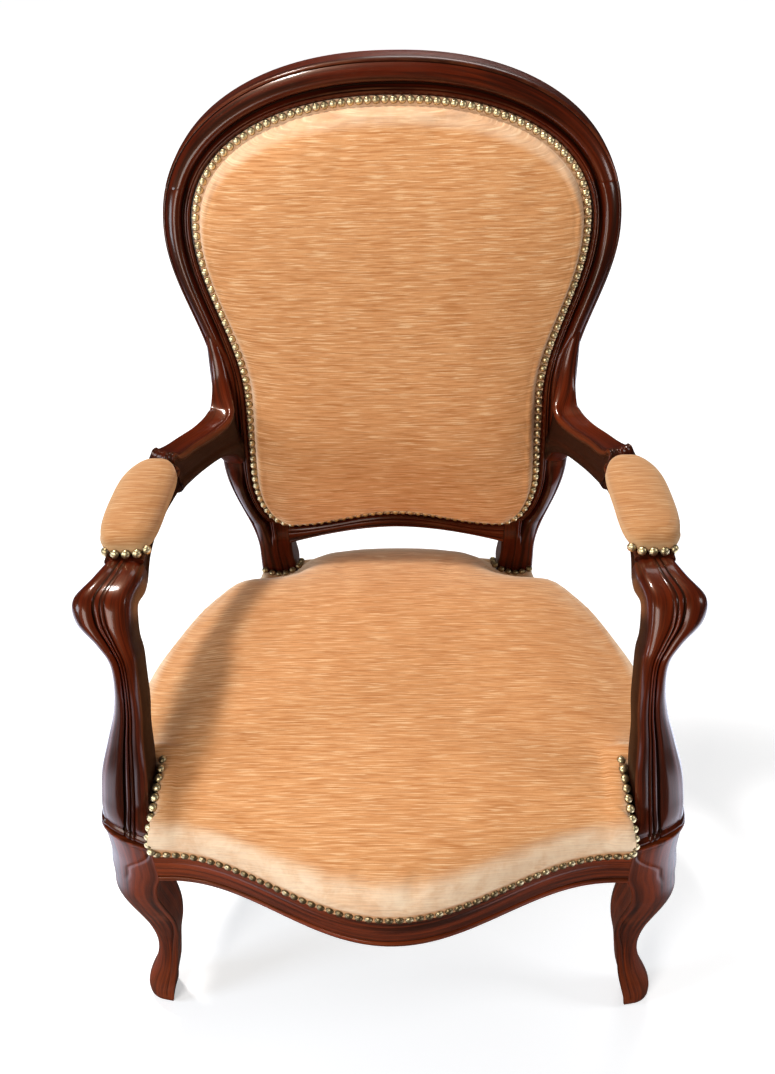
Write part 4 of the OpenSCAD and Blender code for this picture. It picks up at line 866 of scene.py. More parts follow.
@dataclass(frozen=True)
class BackLines:
    """Side profile, outline and nail line of the back, as in the part's source."""

    overall_h: float = 995.0
    balloon_z: float = 825.0
    balloon_w: float = 546.0
    waist_z: float = 640.0
    waist_w: float = 442.0
    joint_z: float = 866.0
    rake: float = math.tan(math.radians(21.0))
    depth: float = 36.0
    side_w: float = 33.0
    crest_w: float = 36.0
    ledge_w: float = 24.0
    ledge_drop: float = 5.0
    rail_top: float = 368.0
    seat_y: float = 166.0
    leg_sweep: float = 118.0
    bend_l: float = 350.0
    stile_base: float = 186.0
    stile_w: float = 48.0
    rear_foot: float = 31.0
    nail_in: float = 6.2
    corner_a: float = 41.0
    corner_b: float = 74.0
    panel_low: float = 451.0
    panel_arch: float = 19.0

    @property
    def panel_top(self) -> float:
        """Top of the nail line."""
        return self.overall_h - self.crest_w - self.nail_in

    @property
    def panel_wide(self) -> float:
        """Half width of the nail line where it is widest."""
        return self.balloon_w / 2 - self.side_w - self.nail_in

    @property
    def panel_waist(self) -> float:
        """Half width of the nail line at the waist."""
        return self.waist_w / 2 - self.side_w - self.nail_in

    @property
    def corner_x(self) -> float:
        """Where the nail line's lower corners begin to turn."""
        return self.panel_waist - self.corner_a

    @property
    def corner_z(self) -> float:
        """Height at which the lower corners end."""
        return self.panel_low + self.corner_b

    @property
    def rise(self) -> float:
        """Height of the crest over the widest place."""
        return self.overall_h - self.balloon_z

    def y(self, z: Array) -> Array:
        """Front face: swept leg, upright at the seat, then bending to an even lean.

        Args:
            z: heights.

        Returns:
            seat_y + sweep (1 - z/h)^1.6 below the seat, and above it seat_y plus the lean
            times t/2 - b/2pi sin(pi t/b) in the bend, then times t - b/2.
        """
        z = np.asarray(z, float)
        t = z - self.rail_top - 20
        b = self.bend_l
        leg = self.leg_sweep * clamp(1 - z / self.rail_top) ** 1.6
        bend = self.rake * (t / 2 - b / 2 / np.pi * np.sin(np.pi * t / b))
        lean = np.where(t < 0, 0.0, np.where(t < b, bend, self.rake * (t - b / 2)))
        return self.seat_y + leg + lean

    def outer(self, z: Array) -> Array:
        """Half width of the back's outline: balloon, waist and leg."""
        z = np.asarray(z, float)
        top = bow(self.rise, self.balloon_w / 2, np.maximum(z - self.balloon_z, 0))
        side = mix(self.waist_w, self.balloon_w, ease(self.waist_z, self.balloon_z, z)) / 2
        low = mix(self.stile_base, self.waist_w / 2,
                  ease(self.rail_top + 38, self.waist_z - 88, z))
        leg = self.stile_base + 10 * clamp(1 - z / self.rail_top) ** 1.6
        return np.where(z > self.balloon_z, top, np.where(
            z > self.waist_z, side, np.where(z > self.rail_top, low, leg)))

    def panel(self, z: Array) -> Array:
        """Half width of the nail line: rounded top, waist and rounded lower corners."""
        z = np.asarray(z, float)
        top = bow(self.panel_top - self.balloon_z, self.panel_wide,
                  np.maximum(z - self.balloon_z, 0))
        side = mix(self.panel_waist, self.panel_wide, ease(self.waist_z - 15, self.balloon_z, z))
        corner = self.corner_x + self.corner_a * np.sqrt(
            1 - clamp((self.corner_z - z) / self.corner_b) ** 2)
        return np.where(z > self.balloon_z, top, np.where(z > self.corner_z, side, corner))

    def panel_foot(self, x: Array) -> Array:
        """Height of the nail line's arched foot: half a cosine wave."""
        turn = np.pi * clamp(np.abs(x) / self.corner_x)
        return self.panel_low + self.panel_arch * (1 + np.cos(turn)) / 2

    def panel_half(self, count: int) -> Array:
        """Right half of the nail line from its foot up to the top, evenly spaced.

        Args:
            count: number of points.

        Returns:
            Points (count, 2) of [x, z].
        """
        x = np.linspace(0, self.corner_x, 40, endpoint=False)
        foot = np.stack([x, self.panel_foot(x)], 1)
        t = np.linspace(0, np.pi / 2, 40, endpoint=False)
        corner = np.stack([self.corner_x + self.corner_a * np.sin(t),
                           self.corner_z - self.corner_b * np.cos(t)], 1)
        z = np.linspace(self.corner_z, self.balloon_z, 80, endpoint=False)
        side = np.stack([self.panel(z), z], 1)
        t = np.linspace(0, np.pi / 2, 160)
        across, up = (clamp(f(t)) ** (2 / ROUND_POWER) for f in (np.cos, np.sin))
        top = np.stack([self.panel_wide * across,
                        self.balloon_z + (self.panel_top - self.balloon_z) * up], 1)
        return resample(np.vstack([foot, corner, side, top]), count)

    def panel_ring(self, half: Array, out: Array, depth: Array, shrink: Array) -> Array:
        """The nail line grown by out from its middle, shrunk, and set back by depth.

        Args:
            half: the right half of the line (n, 2).
            out: growth of each ring (m,).
            depth: depth of each ring behind the front face (m,).
            shrink: size of each ring (m,).

        Returns:
            Rings (m, 2n - 2, 3).
        """
        middle = np.array([0.0, (self.panel_top + self.panel_low) / 2])
        v = mirror_half(half) - middle
        size = np.linalg.norm(v, axis=1)
        grow = shrink[:, None] * (1 + out[:, None] / size[None])
        q = middle + v[None] * grow[:, :, None]
        return grid(q[..., 0], self.y(q[..., 1]) + depth[:, None], q[..., 1])


# Share of the width, then depth of the moulding, of the inner beads, and of both
MOULDING = np.array([
    [0.000, 0.0, 0.0, 9.0], [0.000, 0.0, 0.0, 5.0], [0.006, 0.0, 0.0, 2.8],
    [0.028, 0.0, 0.0, 1.0], [0.060, 0.0, 0.0, 0.2],
    [0.088, 0.0, 0.0, 0.0], [0.104, 0.45, 0.0, 0.05], [0.116, 0.75, 0.0, 0.0],
    [0.130, 0.30, 0.0, 0.0], [0.160, -0.8, 0.0, 0.0], [0.205, -2.1, 0.0, 0.0],
    [0.260, -3.3, 0.0, 0.0], [0.330, -4.4, 0.0, 0.0], [0.400, -5.1, 0.0, 0.0],
    [0.470, -5.4, 0.0, 0.0], [0.535, -5.0, 0.0, 0.0], [0.590, -3.9, 0.0, 0.0],
    [0.632, -2.0, 0.0, 0.0], [0.662, 0.4, 0.1, 0.0], [0.688, 2.6, 0.5, 0.0],
    [0.712, 3.5, 1.1, 0.0], [0.735, 2.5, 1.9, 0.0], [0.757, 0.9, 2.3, 0.0],
    [0.776, 0.0, 1.8, 0.0], [0.794, 0.0, 0.7, 0.0], [0.814, 0.0, -0.5, 0.0],
    [0.835, 0.0, -0.9, 0.0], [0.858, 0.0, -0.6, 0.0], [0.876, 0.0, 0.45, 0.0],
    [0.894, 0.0, -0.5, 0.0], [0.918, 0.0, -0.9, 0.0], [0.945, 0.0, -0.6, 0.0],
    [0.970, 0.0, 0.35, 0.1], [1.000, 0.0, 0.0, 1.3]])


def moulded_section(width: Array, ledge: Array, depth: Array, lift: Array, bead: Array) -> Array:
    """Cross-sections of the back frame as [across from the outer edge, depth].

    Across the face the depth is the moulding's table, with its large rounded member times lift
    and its inner beads times bead. The tacking ledge, the rear face and its rounded corners follow.

    Args:
        width: width of the face for each ring (m,).
        ledge: width of the ledge (m,).
        depth: thickness of the frame (m,).
        lift: share of the large member (m,).
        bead: share of the inner beads and of the ledge's drop (m,).

    Returns:
        Sections (m, n, 2).
    """
    share, large, small, fixed = MOULDING.T
    across = width[:, None] * share
    down = lift[:, None] * large + bead[:, None] * small + fixed
    drop = 1.3 + 3.7 * bead
    inner = width + ledge
    rest_across = np.stack([width + 0.5, inner - 0.6, inner, inner, inner, inner - 1, inner - 4,
                            mix(inner, 0, 0.5), 0 * inner + 4, 0 * inner + 1.2, 0 * inner], 1)
    rest_down = np.stack([drop, drop, drop + 0.6, mix(drop, depth, 0.5), depth - 3, depth - 0.9,
                          depth, depth, depth, depth - 1, depth - 4], 1)
    return np.stack([np.hstack([across, rest_across]), np.hstack([down, rest_down])], -1)


@dataclass
class BackFrame:
    """Uprights with their rear legs, the crest rail and the arched lower rail."""

    lines: BackLines = field(default_factory=BackLines)
    crest_rings: int = 260
    lower_rings: int = 110
    glide_h: float = 3.0
    root_low: float = 543.0
    tongue_top: float = 668.0
    rail_low: float = 418.0
    rail_arch: float = 27.0

    def inner(self, z: Array) -> Array:
        """Half distance to the uprights' inner face: leg, seat joint, and ledge under the pad."""
        b = self.lines
        leg = b.outer(z) - mix(b.rear_foot, b.stile_w, z / b.rail_top)
        joint = mix(b.stile_base - b.stile_w, b.corner_x + 1, ease(b.rail_top, b.rail_top + 40, z))
        ledge = b.panel(z) + b.nail_in - b.ledge_w
        return np.where(z < b.rail_top, leg, np.where(z < b.panel_low + 22, joint, ledge))

    def upright(self) -> Shell:
        """The right upright: moulded sections stacked up its height, a plain leg below the seat."""
        b = self.lines
        z = np.unique(np.concatenate([
            np.linspace(self.glide_h, b.rail_top, 110), np.linspace(b.rail_top, b.joint_z, 190)]))
        outer, inner = b.outer(z), self.inner(z)
        bead_x = np.maximum(inner + b.ledge_w * 0.8, b.panel(z) + b.nail_in)
        deep = np.where(z < b.rail_top, mix(b.rear_foot, 42, z / b.rail_top),
                        mix(42, b.depth, ease(b.rail_top, b.panel_low - 8, z)))
        gap = ease(self.root_low - 34, self.root_low - 4, z) * (1 - ease(
            self.tongue_top + 4, self.tongue_top + 38, z))
        lift = ease(b.rail_top + 40, b.rail_top + 90, z) * (1 - gap)
        bead = ease(b.rail_top + 54, b.panel_low - 10, z)
        section = moulded_section(outer - bead_x, bead_x - inner, deep, lift, bead)
        rings = grid(outer[:, None] - section[..., 0], b.y(z)[:, None] + section[..., 1],
                     z[:, None])
        return tube(self.trimmed(rings), 2)

    def trimmed(self, rings: Array) -> Array:
        """Rings whose last ones close in by a quarter millimetre, which shows the joint."""
        middle = rings.mean(1, keepdims=True)
        reach = np.linalg.norm(rings - middle, axis=2, keepdims=True)
        pull = np.zeros((len(rings), 1, 1))
        pull[0], pull[-1] = 0.35, 0.35
        return rings - (rings - middle) / np.maximum(reach, 1) * pull

    def crest(self) -> Shell:
        """The crest rail: moulded sections square to its outline, from joint to joint."""
        b = self.lines
        power = 2 / ROUND_POWER

        def at(angle: Array, wide: float, high: float) -> Array:
            """Points of the rounded arch at an angle."""
            return np.stack([wide * clamp(np.cos(angle)) ** power,
                             b.balloon_z + high * clamp(np.sin(angle)) ** power], -1)

        def first(high: float) -> float:
            """Angle at which an arch of that height reaches the joint."""
            return math.asin(((b.joint_z - b.balloon_z) / high) ** (ROUND_POWER / 2))

        s = np.linspace(0, 1, self.crest_rings // 2)
        inside = b.panel_top - b.balloon_z
        a = at(mix(first(b.rise), np.pi / 2, s), b.balloon_w / 2, b.rise)
        c = at(mix(first(inside), np.pi / 2, s), b.panel_wide, inside)
        size = np.linalg.norm(c - a, axis=1)
        v = (c - a) / size[:, None]
        one = np.ones_like(s)
        section = moulded_section(size - b.nail_in, b.ledge_w * one, b.depth * one, one, one)
        x, z = np.moveaxis(a[:, None] + v[:, None] * section[..., :1], -1, 0)
        right = grid(x, b.y(z) + section[..., 1], z)
        return tube(self.trimmed(np.concatenate([right, right[-2::-1] * FLIP])), 2)

    def lower(self) -> Shell:
        """The lower rail: a face with a bead near each edge, swept from upright to upright."""
        b = self.lines
        x = np.linspace(b.corner_x + 3, -b.corner_x - 3, self.lower_rings)
        low = self.rail_low + self.rail_arch * (1 - (np.abs(x) / (b.corner_x + 3)) ** 1.8)
        w = b.panel_foot(x) - b.nail_in - low
        share = np.array([0.0, 0.03, 0.08, 0.14, 0.19, 0.235, 0.27, 0.33, 0.42, 0.54, 0.66,
                          0.70, 0.735, 0.765, 0.80, 0.85, 0.90, 0.945, 0.975, 1.0])
        down = np.array([4.0, 1.6, 0.4, 0.0, 0.5, 1.9, 1.4, 0.1, -0.7, -1.1, -0.8,
                         0.4, 1.8, 1.2, -0.3, -0.9, -0.4, 0.2, -0.5, 1.0])
        top = w + b.ledge_w - b.nail_in
        rest_up = np.stack(np.broadcast_arrays(w + 0.5, top, top, top, top - 2, top / 2,
                                               3, 1, 0, 0), 1)
        depth = np.concatenate([down, [5, 5, 18, 33, 34, 34, 34, 33, 30, 16]])
        z = low[:, None] + np.hstack([w[:, None] * share, rest_up])
        return tube(grid(x[:, None], b.y(z) + depth, z), 2)

    def build(self, shop: Workshop) -> None:
        """Places the frame's four pieces."""
        shop.pair("upright", self.upright(), "mahogany", "rear_leg")
        shop.place("crest", self.crest(), "mahogany", ("crest_rail",))
        shop.place("lower_back_rail", self.lower(), "mahogany", ("back_lower_rail",))


@dataclass
class FrontLeg:
    """Cabriole leg with a sharp inner arris, an incised line beside it and a carved knee."""

    rail_top: float = 368.0
    rail_h: float = 54.0
    x: float = 281.0
    y: float = 251.0
    block_in: float = 253.0
    slope: float = 0.3
    rings: int = 230

    def rows(self) -> Rows:
        """Rows of [height, x, y, half width, half depth]."""
        x, y, top = self.x, -self.y, self.rail_top
        return Rows((
            (3, x + 23, y + 13, 14.5, 15), (6, x + 23, y + 13, 15.8, 16.4),
            (12, x + 22.5, y + 13, 17, 17.5), (28, x + 21, y + 13, 17.8, 17.5),
            (50, x + 15, y + 11.5, 17, 16.5), (75, x + 7, y + 13, 14.7, 14.5),
            (100, x + 2.5, y + 16.5, 13.5, 13), (122, x + 1, y + 19, 14.7, 13.2),
            (150, x + 1, y + 20.5, 20, 16), (175, x + 4, y + 20.5, 25, 19),
            (205, x + 7.5, y + 16.5, 28, 22), (235, x + 10.5, y + 11.5, 28.3, 24),
            (262, x + 10.5, y + 6, 27, 25), (290, x + 6.5, y + 2, 26.5, 25.5),
            (top - self.rail_h, x + 1.5, y + 0.5, 29.5, 26.5),
            (top - 30, x - 0.5, y, 27.8, 27), (top - 9, x, y + 0.5, 28, 27),
            (top - 2, x + 0.7, y, 29.3, 28), (top, x + 0.5, y + 0.5, 28.8, 27.5)))

    def section(self) -> Array:
        """Pear-shaped plan with its arris at the inner front, as shares of the half sizes."""
        return smooth_rings(np.array([
            [-0.985, -1.24], [-1.0, -1.29], [-0.96, -1.305], [-0.88, -1.29], [-0.7, -1.262],
            [-0.4, -1.21], [0.15, -1.07], [0.62, -0.80], [0.92, -0.42], [1, 0.1], [0.97, 0.55],
            [0.86, 0.84], [0.5, 1], [-0.3, 1], [-0.78, 0.96], [-1, 0.7], [-0.965, 0],
            [-0.95, -0.7]]), 7)

    def shell(self) -> Shell:
        """The right leg: its section swept up the leg's curve, then carved."""
        section = self.section()
        z = np.linspace(3, self.rail_top, self.rings)
        r = self.rows().at(z)
        x = r[:, 0, None] + r[:, 2, None] * section[:, 0]
        y = r[:, 1, None] + r[:, 3, None] * section[:, 1]
        lift = self.slope * ease(self.rail_top - 30, self.rail_top - 6, z)[:, None]
        up = z[:, None] + lift * np.maximum(0, x - self.block_in)
        x = np.where((z[:, None] > self.rail_top - self.rail_h - 2) & (x < self.block_in),
                     self.block_in, x)
        rings = np.stack([x, y, up], -1)
        step = np.linalg.norm(np.roll(rings, -1, 1) - rings, axis=2)
        around = np.cumsum(step, 1) - step
        line = self.line_depth(around - around[:, 14:15], z[:, None])
        return tube(carved(rings, line))

    def line_depth(self, across: Array, z: Array) -> Array:
        """Depth of the incised lines, below 0.

        One line runs beside the arris down shin and foot; a curved one rounds the knee. Each is
        a bell curve of the distance from its centre line.

        Args:
            across: distance from the arris over the front face, in millimetres (m, n).
            z: heights (m, 1).

        Returns:
            Heights (m, n).
        """
        centre = mix(9.0, 6.0, ease(60, 170, z))
        shin = -1.1 * bump(across - centre, 0, 1.5) * ease(10, 34, z) * (1 - ease(150, 230, z))
        knee_q = 36 - 30 * ease(0, 1, (z - 318) / 36) ** 1.2
        knee = -1.0 * bump(across - knee_q, 0, 1.6) * ease(292, 312, z) * (1 - ease(352, 358, z))
        return shin + knee

    def build(self, shop: Workshop) -> None:
        """Places both legs."""
        shop.pair("cabriole_leg", self.shell(), "mahogany_seat", "front_leg")


@dataclass
class Glides:
    """Four turned glides under the feet."""

    front: tuple[float, float] = (304.0, -238.0)
    rear: tuple[float, float] = (180.5, 299.5)

    def build(self, shop: Workshop) -> None:
        """Places the four glides as one piece: a domed disc with its pin."""
        profile = np.array([[0.5, 0], [7.6, 0], [8.8, 0.25], [9.7, 0.9], [10, 1.9], [9.9, 3.0],
                            [1.5, 3.05], [1.5, 14.6], [0.4, 15.0]])
        shells = [revolve(profile, np.array([side * x, y, 0.0]), 36)
                  for x, y in (self.front, self.rear) for side in (1, -1)]
        shop.place("glides", join(shells), "steel", ("foot_glides",), math.radians(35))


@dataclass
class ArmSupport:
    """Scrolled support from the leg's collar up to the arm's front end."""

    leg: FrontLeg = field(default_factory=FrontLeg)
    arm_z: float = 637.0
    arm_t: float = 32.0
    arm_half_w: float = 20.0
    end_y: float = -130.0
    steps: int = 250

    def rows(self) -> Rows:
        """Rows of [station, x, y, z, half width, half depth, tilt of the section in degrees]."""
        x, y, a, e = self.leg.x, -self.leg.y, self.arm_z, self.end_y
        top = self.leg.rail_top
        return Rows((
            (0, x - 12.5, e, a - 16, self.arm_half_w + 1.5, self.arm_t / 2, 90),
            (1, x - 8.5, e - 20, a - 16, 25.5, 19, 72), (2, x + 0.5, e - 41, a - 20, 30.5, 21, 50),
            (3, x - 1.5, e - 54, a - 34, 28.5, 21.5, 33),
            (4, x - 12, e - 65, a - 50, 19.4, 20.5, 22),
            (5, x - 19.5, e - 73, a - 65, 15.2, 20, 16), (6, x - 21, e - 82, a - 90, 14.5, 20, 12),
            (7, x - 18.5, e - 89, a - 120, 16.7, 20.5, 10),
            (8, x - 12.5, e - 96, mix(top, a, 0.44), 20.2, 21.5, 8),
            (9, x - 7, y + 16, mix(top, a, 0.31), 25.5, 23, 7),
            (10, x - 3, y + 11, mix(top, a, 0.19), 27, 24.5, 5),
            (11, x - 1, y + 5, mix(top, a, 0.1), 27, 25.5, 3),
            (12, x + 0.5, y + 0.5, top + 0.6, 27.4, 26.1, 0)))

    def section(self) -> Array:
        """One large rounded member outside, a groove, two reeds and a flat inner part.

        Returns:
            Points (n, 3) of [across, forward, depth of the reeds in millimetres].
        """
        return np.array([
            [-0.75, -1, 0], [0, -1.02, 0], [0.72, -1, 0], [0.94, -0.82, 0], [1, -0.4, 0],
            [1.01, 0.0, 0], [1, 0.3, 0], [0.96, 0.55, 0], [0.9, 0.74, 0], [0.81, 0.88, 0],
            [0.69, 0.97, 0], [0.57, 1.01, 0], [0.46, 1.0, 0], [0.37, 0.965, 0],
            [0.325, 0.94, -1.6], [0.295, 0.92, -3.5], [0.265, 0.92, -3.8], [0.235, 0.93, -2.0],
            [0.205, 0.95, 0.2], [0.155, 0.95, 1.1], [0.105, 0.95, 0.6], [0.08, 0.945, -0.9],
            [0.06, 0.94, -1.6], [0.035, 0.94, -0.5], [-0.005, 0.945, 1.1], [-0.05, 0.94, 0.5],
            [-0.075, 0.93, -0.9], [-0.095, 0.92, -1.4], [-0.13, 0.915, -0.3], [-0.3, 0.9, 0.3],
            [-0.5, 0.87, 0.2], [-0.68, 0.8, 0], [-0.82, 0.68, 0], [-0.91, 0.5, 0],
            [-0.965, 0.25, 0], [-0.99, -0.1, 0], [-0.99, -0.5, 0], [-0.95, -0.8, 0],
            [-0.88, -0.94, 0]])

    def foot(self, section: Array) -> Array:
        """The leg's plan met at the same angles as the section's points, for the blend at the foot.

        Args:
            section: points (n, 3) of the support's section.

        Returns:
            Points (n, 2) of [across, forward].
        """
        plan = self.leg.section() * np.array([1.0, -1.0])
        angle = np.arctan2(plan[:, 1], plan[:, 0])
        order = np.argsort(angle)
        want = np.arctan2(section[:, 1], section[:, 0])
        reach = np.interp(want, angle[order], np.linalg.norm(plan, axis=1)[order], period=2 * np.pi)
        return np.stack([np.cos(want), np.sin(want)], 1) * reach[:, None]

    def shell(self) -> Shell:
        """The right support: its section carried along the scroll's line and tilted with it.

        Towards its foot the section turns into the leg's plan, a little smaller.
        """
        station = np.linspace(0, 12, self.steps)
        r = self.rows().at(station)
        sec = smooth_rings(self.section(), 3)
        reed = (ease(1.7, 3.2, station) * (1 - 0.55 * ease(11.2, 11.9, station)))[:, None]
        turn = ease(10.2, 11.9, station)[:, None, None]
        plan = mix(sec[None, :, :2], self.foot(sec)[None], turn)
        inward = (0.08 + 0.24 * ease(5.5, 9.5, station))[:, None] * (1 - sec[:, 0] ** 2)
        plan[..., 0] -= inward * np.where(sec[:, 1] > 0.7, 1.0, 0.0)
        x = r[:, 0, None] + r[:, 3, None] * plan[..., 0]
        forward = r[:, 4, None] * plan[..., 1] + reed * sec[:, 2]
        tilt = np.radians(r[:, 5, None])
        lift = self.leg.slope * ease(10.4, 12, station)[:, None]
        y = r[:, 1, None] - forward * np.cos(tilt)
        z = r[:, 2, None] + forward * np.sin(tilt) + lift * np.maximum(0, x - self.leg.block_in)
        rings = grid(x, y, z)
        run = lengths(rings.mean(1))
        to_end = run[-1] - run
        collar = 1.6 * bump(to_end, 3.4, 2.8) - 1.2 * bump(to_end, 9.0, 2.2)
        shell = tube(carved(rings, np.repeat(collar[:, None], rings.shape[1], 1)))
        # Painted shade: the support's inner side, from the scroll down, is marked as hollow so that
        # it goes dark.
        inner = ease(-0.7, -0.95, sec[:, 0])[None] * ease(2.0, 3.5, station)[:, None]
        shell.worn[:inner.size] = np.minimum(shell.worn[:inner.size], -0.8 * inner.ravel())
        return shell

    def build(self, shop: Workshop) -> None:
        """Places both supports."""
        shop.pair("scroll_support", self.shell(), "mahogany", "arm_support")


@dataclass
class Arm:
    """Arm that grows out of the upright's large moulding and ends over the support."""

    lines: BackLines = field(default_factory=BackLines)
    support: ArmSupport = field(default_factory=ArmSupport)
    pad_rear: float = 26.0
    steps: int = 240

    def rows(self) -> Rows:
        """Rows of [station, lower x, y, z, half width, upper x, y, z, half width]."""
        b, a = self.lines, self.support.arm_z
        low, leg_x, rear, end = a - 32, self.support.leg.x, self.pad_rear, self.support.end_y
        y8, y9, y10 = (mix(rear, end, share) for share in (0.246, 0.488, 0.744))

        def on_back(z: float, proud: float) -> float:
            """Depth of a point that stands proud of the upright's face."""
            return float(b.y(z)) - proud

        def level(s: float, x: float, y: float, lo: float, hi: float, w: float,
                  top: float = 0.0) -> tuple:
            """A row whose lower and upper line share their place in plan."""
            return (s, x, y, lo, w, x, y, hi, top or w)

        return Rows((
            (0.0, 204, on_back(543, -6), 543, 15, 225.5, on_back(712, 4.0), 712, 5.5),
            (0.2, 204.5, on_back(543, -2), 545, 16.5, 221.5, on_back(694, 5.4), 694, 7.5),
            (0.4, 205, on_back(543, 3), 549, 17, 217.5, on_back(676, 7.0), 676, 9),
            (0.6, 206, on_back(543, 8), 555, 17, 214.5, on_back(658, 12), 658, 10.5),
            (0.8, 207.5, on_back(543, 13), 562, 16.5, 212, on_back(643.5, 21), 643.5, 13),
            (1.0, 209.5, on_back(543, 19), 570, 16, 210.5, 164, 634.5, 15.5),
            level(2, 221, 128, 586, 635, 15.5),
            level(3, leg_x - 43, 84, low - 9, a + 7, 15.5, 14.6),
            level(4, leg_x - 30, rear + 21, low - 3, a + 15.5, 17, 14),
            level(4.5, leg_x - 27.5, rear + 15, low - 2.5, a + 19.5, 18.2, 13.4),
            level(5, leg_x - 26, rear + 10.5, low - 2, a + 21, 19.2, 13.2),
            level(5.5, leg_x - 25, rear + 7.5, low - 1.5, a + 20, 19.6, 14),
            level(6, leg_x - 24, rear + 4.5, low - 1, a + 15, 19.8, 16),
            (7, leg_x - 20, rear + 1, low, 17.5, leg_x - 22, rear + 1, a, 20.4),
            (8, leg_x - 13, y8, low, 17, leg_x - 16, y8, a, 20),
            (9, leg_x - 9, y9, low, 17, leg_x - 13, y9, a, 19.5),
            (10, leg_x - 9, y10, low, 18, leg_x - 12, y10, a, 20),
            level(11, leg_x - 12.5, end, low, a, 20.5)))

    def sections(self) -> tuple[Array, Array]:
        """Sections of the arm and of its root, as [across, up, relief in millimetres].

        The arm has a flat top with a rolled inner edge and a bead along its lower inner edge.
        On the upright its whole top is one rounded member.

        Returns:
            The two sections, with the same number of points.
        """
        arm = np.array([
            [-0.6, -1, 0], [0, -1.02, 0], [0.6, -1, 0], [0.85, -0.93, 0], [0.97, -0.75, 0],
            [0.93, -0.6, 0], [0.91, -0.52, 0], [0.96, -0.42, 0], [1, -0.25, 0], [1.02, 0.1, 0],
            [1.0, 0.45, 0], [1.0, 0.8, -2], [1.0, 1, -2.4], [0.96, 1, -0.9], [0.88, 1, -0.2],
            [0.7, 1, -0.5], [0.35, 1, -1.1], [0.0, 1, -1.3], [-0.3, 1, -1.0], [-0.5, 1, -0.2],
            [-0.62, 1, 0.8], [-0.74, 1, 1.3], [-0.86, 1, 0.9], [-0.95, 1, -0.3], [-0.99, 1, -2.0],
            [-0.97, 1, -4.0], [-0.90, 1, -5.6], [-0.86, 1, -7.4], [-0.85, 0.3, 0],
            [-0.86, 0.0, 0], [-0.88, -0.2, 0], [-0.86, -0.33, 0], [-0.9, -0.42, 0],
            [-0.99, -0.5, 0], [-1.03, -0.6, 0], [-1.0, -0.71, 0], [-0.93, -0.79, 0],
            [-0.88, -0.86, 0], [-0.8, -0.94, 0]])
        root = arm.copy()
        across = np.array([1.0, 1.0, 0.99, 0.93, 0.85, 0.7, 0.48, 0.24, 0.0, -0.2, -0.4, -0.6,
                           -0.77, -0.9, -0.98, -1.0, -1.0])
        root[11:28, 0] = across
        root[11:28, 1] = 1
        root[11:28, 2] = 5.5 * (np.sqrt(clamp(1 - across**2)) - 1) - np.array(
            [9, 4, 0.6, 0, 0, 0, 0, 0, 0, 0, 0, 0, 0, 0, 0.4, 3, 8])
        return arm, root

    def shell(self) -> Shell:
        """The right arm: sections ruled between a lower and an upper line.

        Each point lies at its share of the way between the two lines, and then off the upper line
        by its relief, square to that line. Behind the pad the top slopes down to its inner side,
        and the lip there stands askew and has small flutes cut across it.
        """
        station = np.concatenate([np.linspace(0, 2, 110, endpoint=False),
                                  np.linspace(2, 4, 50, endpoint=False),
                                  np.linspace(4, 7, 60, endpoint=False), np.linspace(7, 11, 24)])
        r = self.rows().at(station)
        arm, root = (smooth_rings(s, 3) for s in self.sections())
        t = ease(0.62, 1.2, station)[:, None, None]
        sec = mix(root[None], arm[None], t)
        up = (sec[..., 1] + 1) / 2
        tangent = unit(np.gradient(r[:, 5:7], axis=0))
        step = 0.5 * ease(4.0, 5.0, station) * (1 - ease(6.6, 7.0, station))
        ny = mix(tangent[:, 1], 0, ease(2.5, 3.6, station))[:, None]
        nz = mix(-tangent[:, 0], 1, ease(2.5, 3.6, station))[:, None]
        x, y, z, wide = (mix(r[:, k, None], r[:, k + 4, None], up) for k in range(4))
        x, y, z = x + wide * sec[..., 0], y + ny * sec[..., 2], z + nz * sec[..., 2]
        flutes = step[:, None] * (1 + np.cos(2 * np.pi * (x - r[:, 4, None]) / 5.2)) * (up > 0.97)
        upper = clamp((up - 0.55) / 0.45)
        fall = (ease(0.7, 1.5, station) * (1 - ease(3.6, 4.7, station)))[:, None]
        z = z - 3.6 * fall * upper * (1 - sec[..., 0])
        skew = (0.5 * ease(3.2, 4.6, station) * (1 - ease(6.0, 7.0, station)))[:, None]
        y = y + skew * upper * (x - r[:, 4, None])
        shell = tube(np.stack([x, y, z - flutes * 1.6], -1))
        # Painted shade: the arm's inner side below its top is marked as hollow so that it goes
        # dark.
        hollow = ease(-0.6, -0.8, sec[..., 0]) * ease(0.93, 0.82, up)
        shell.worn[:hollow.size] = np.minimum(shell.worn[:hollow.size], -hollow.ravel())
        return shell

    def build(self, shop: Workshop) -> None:
        """Places both arms."""
        shop.pair("arm_wood", self.shell(), "mahogany", "arm")


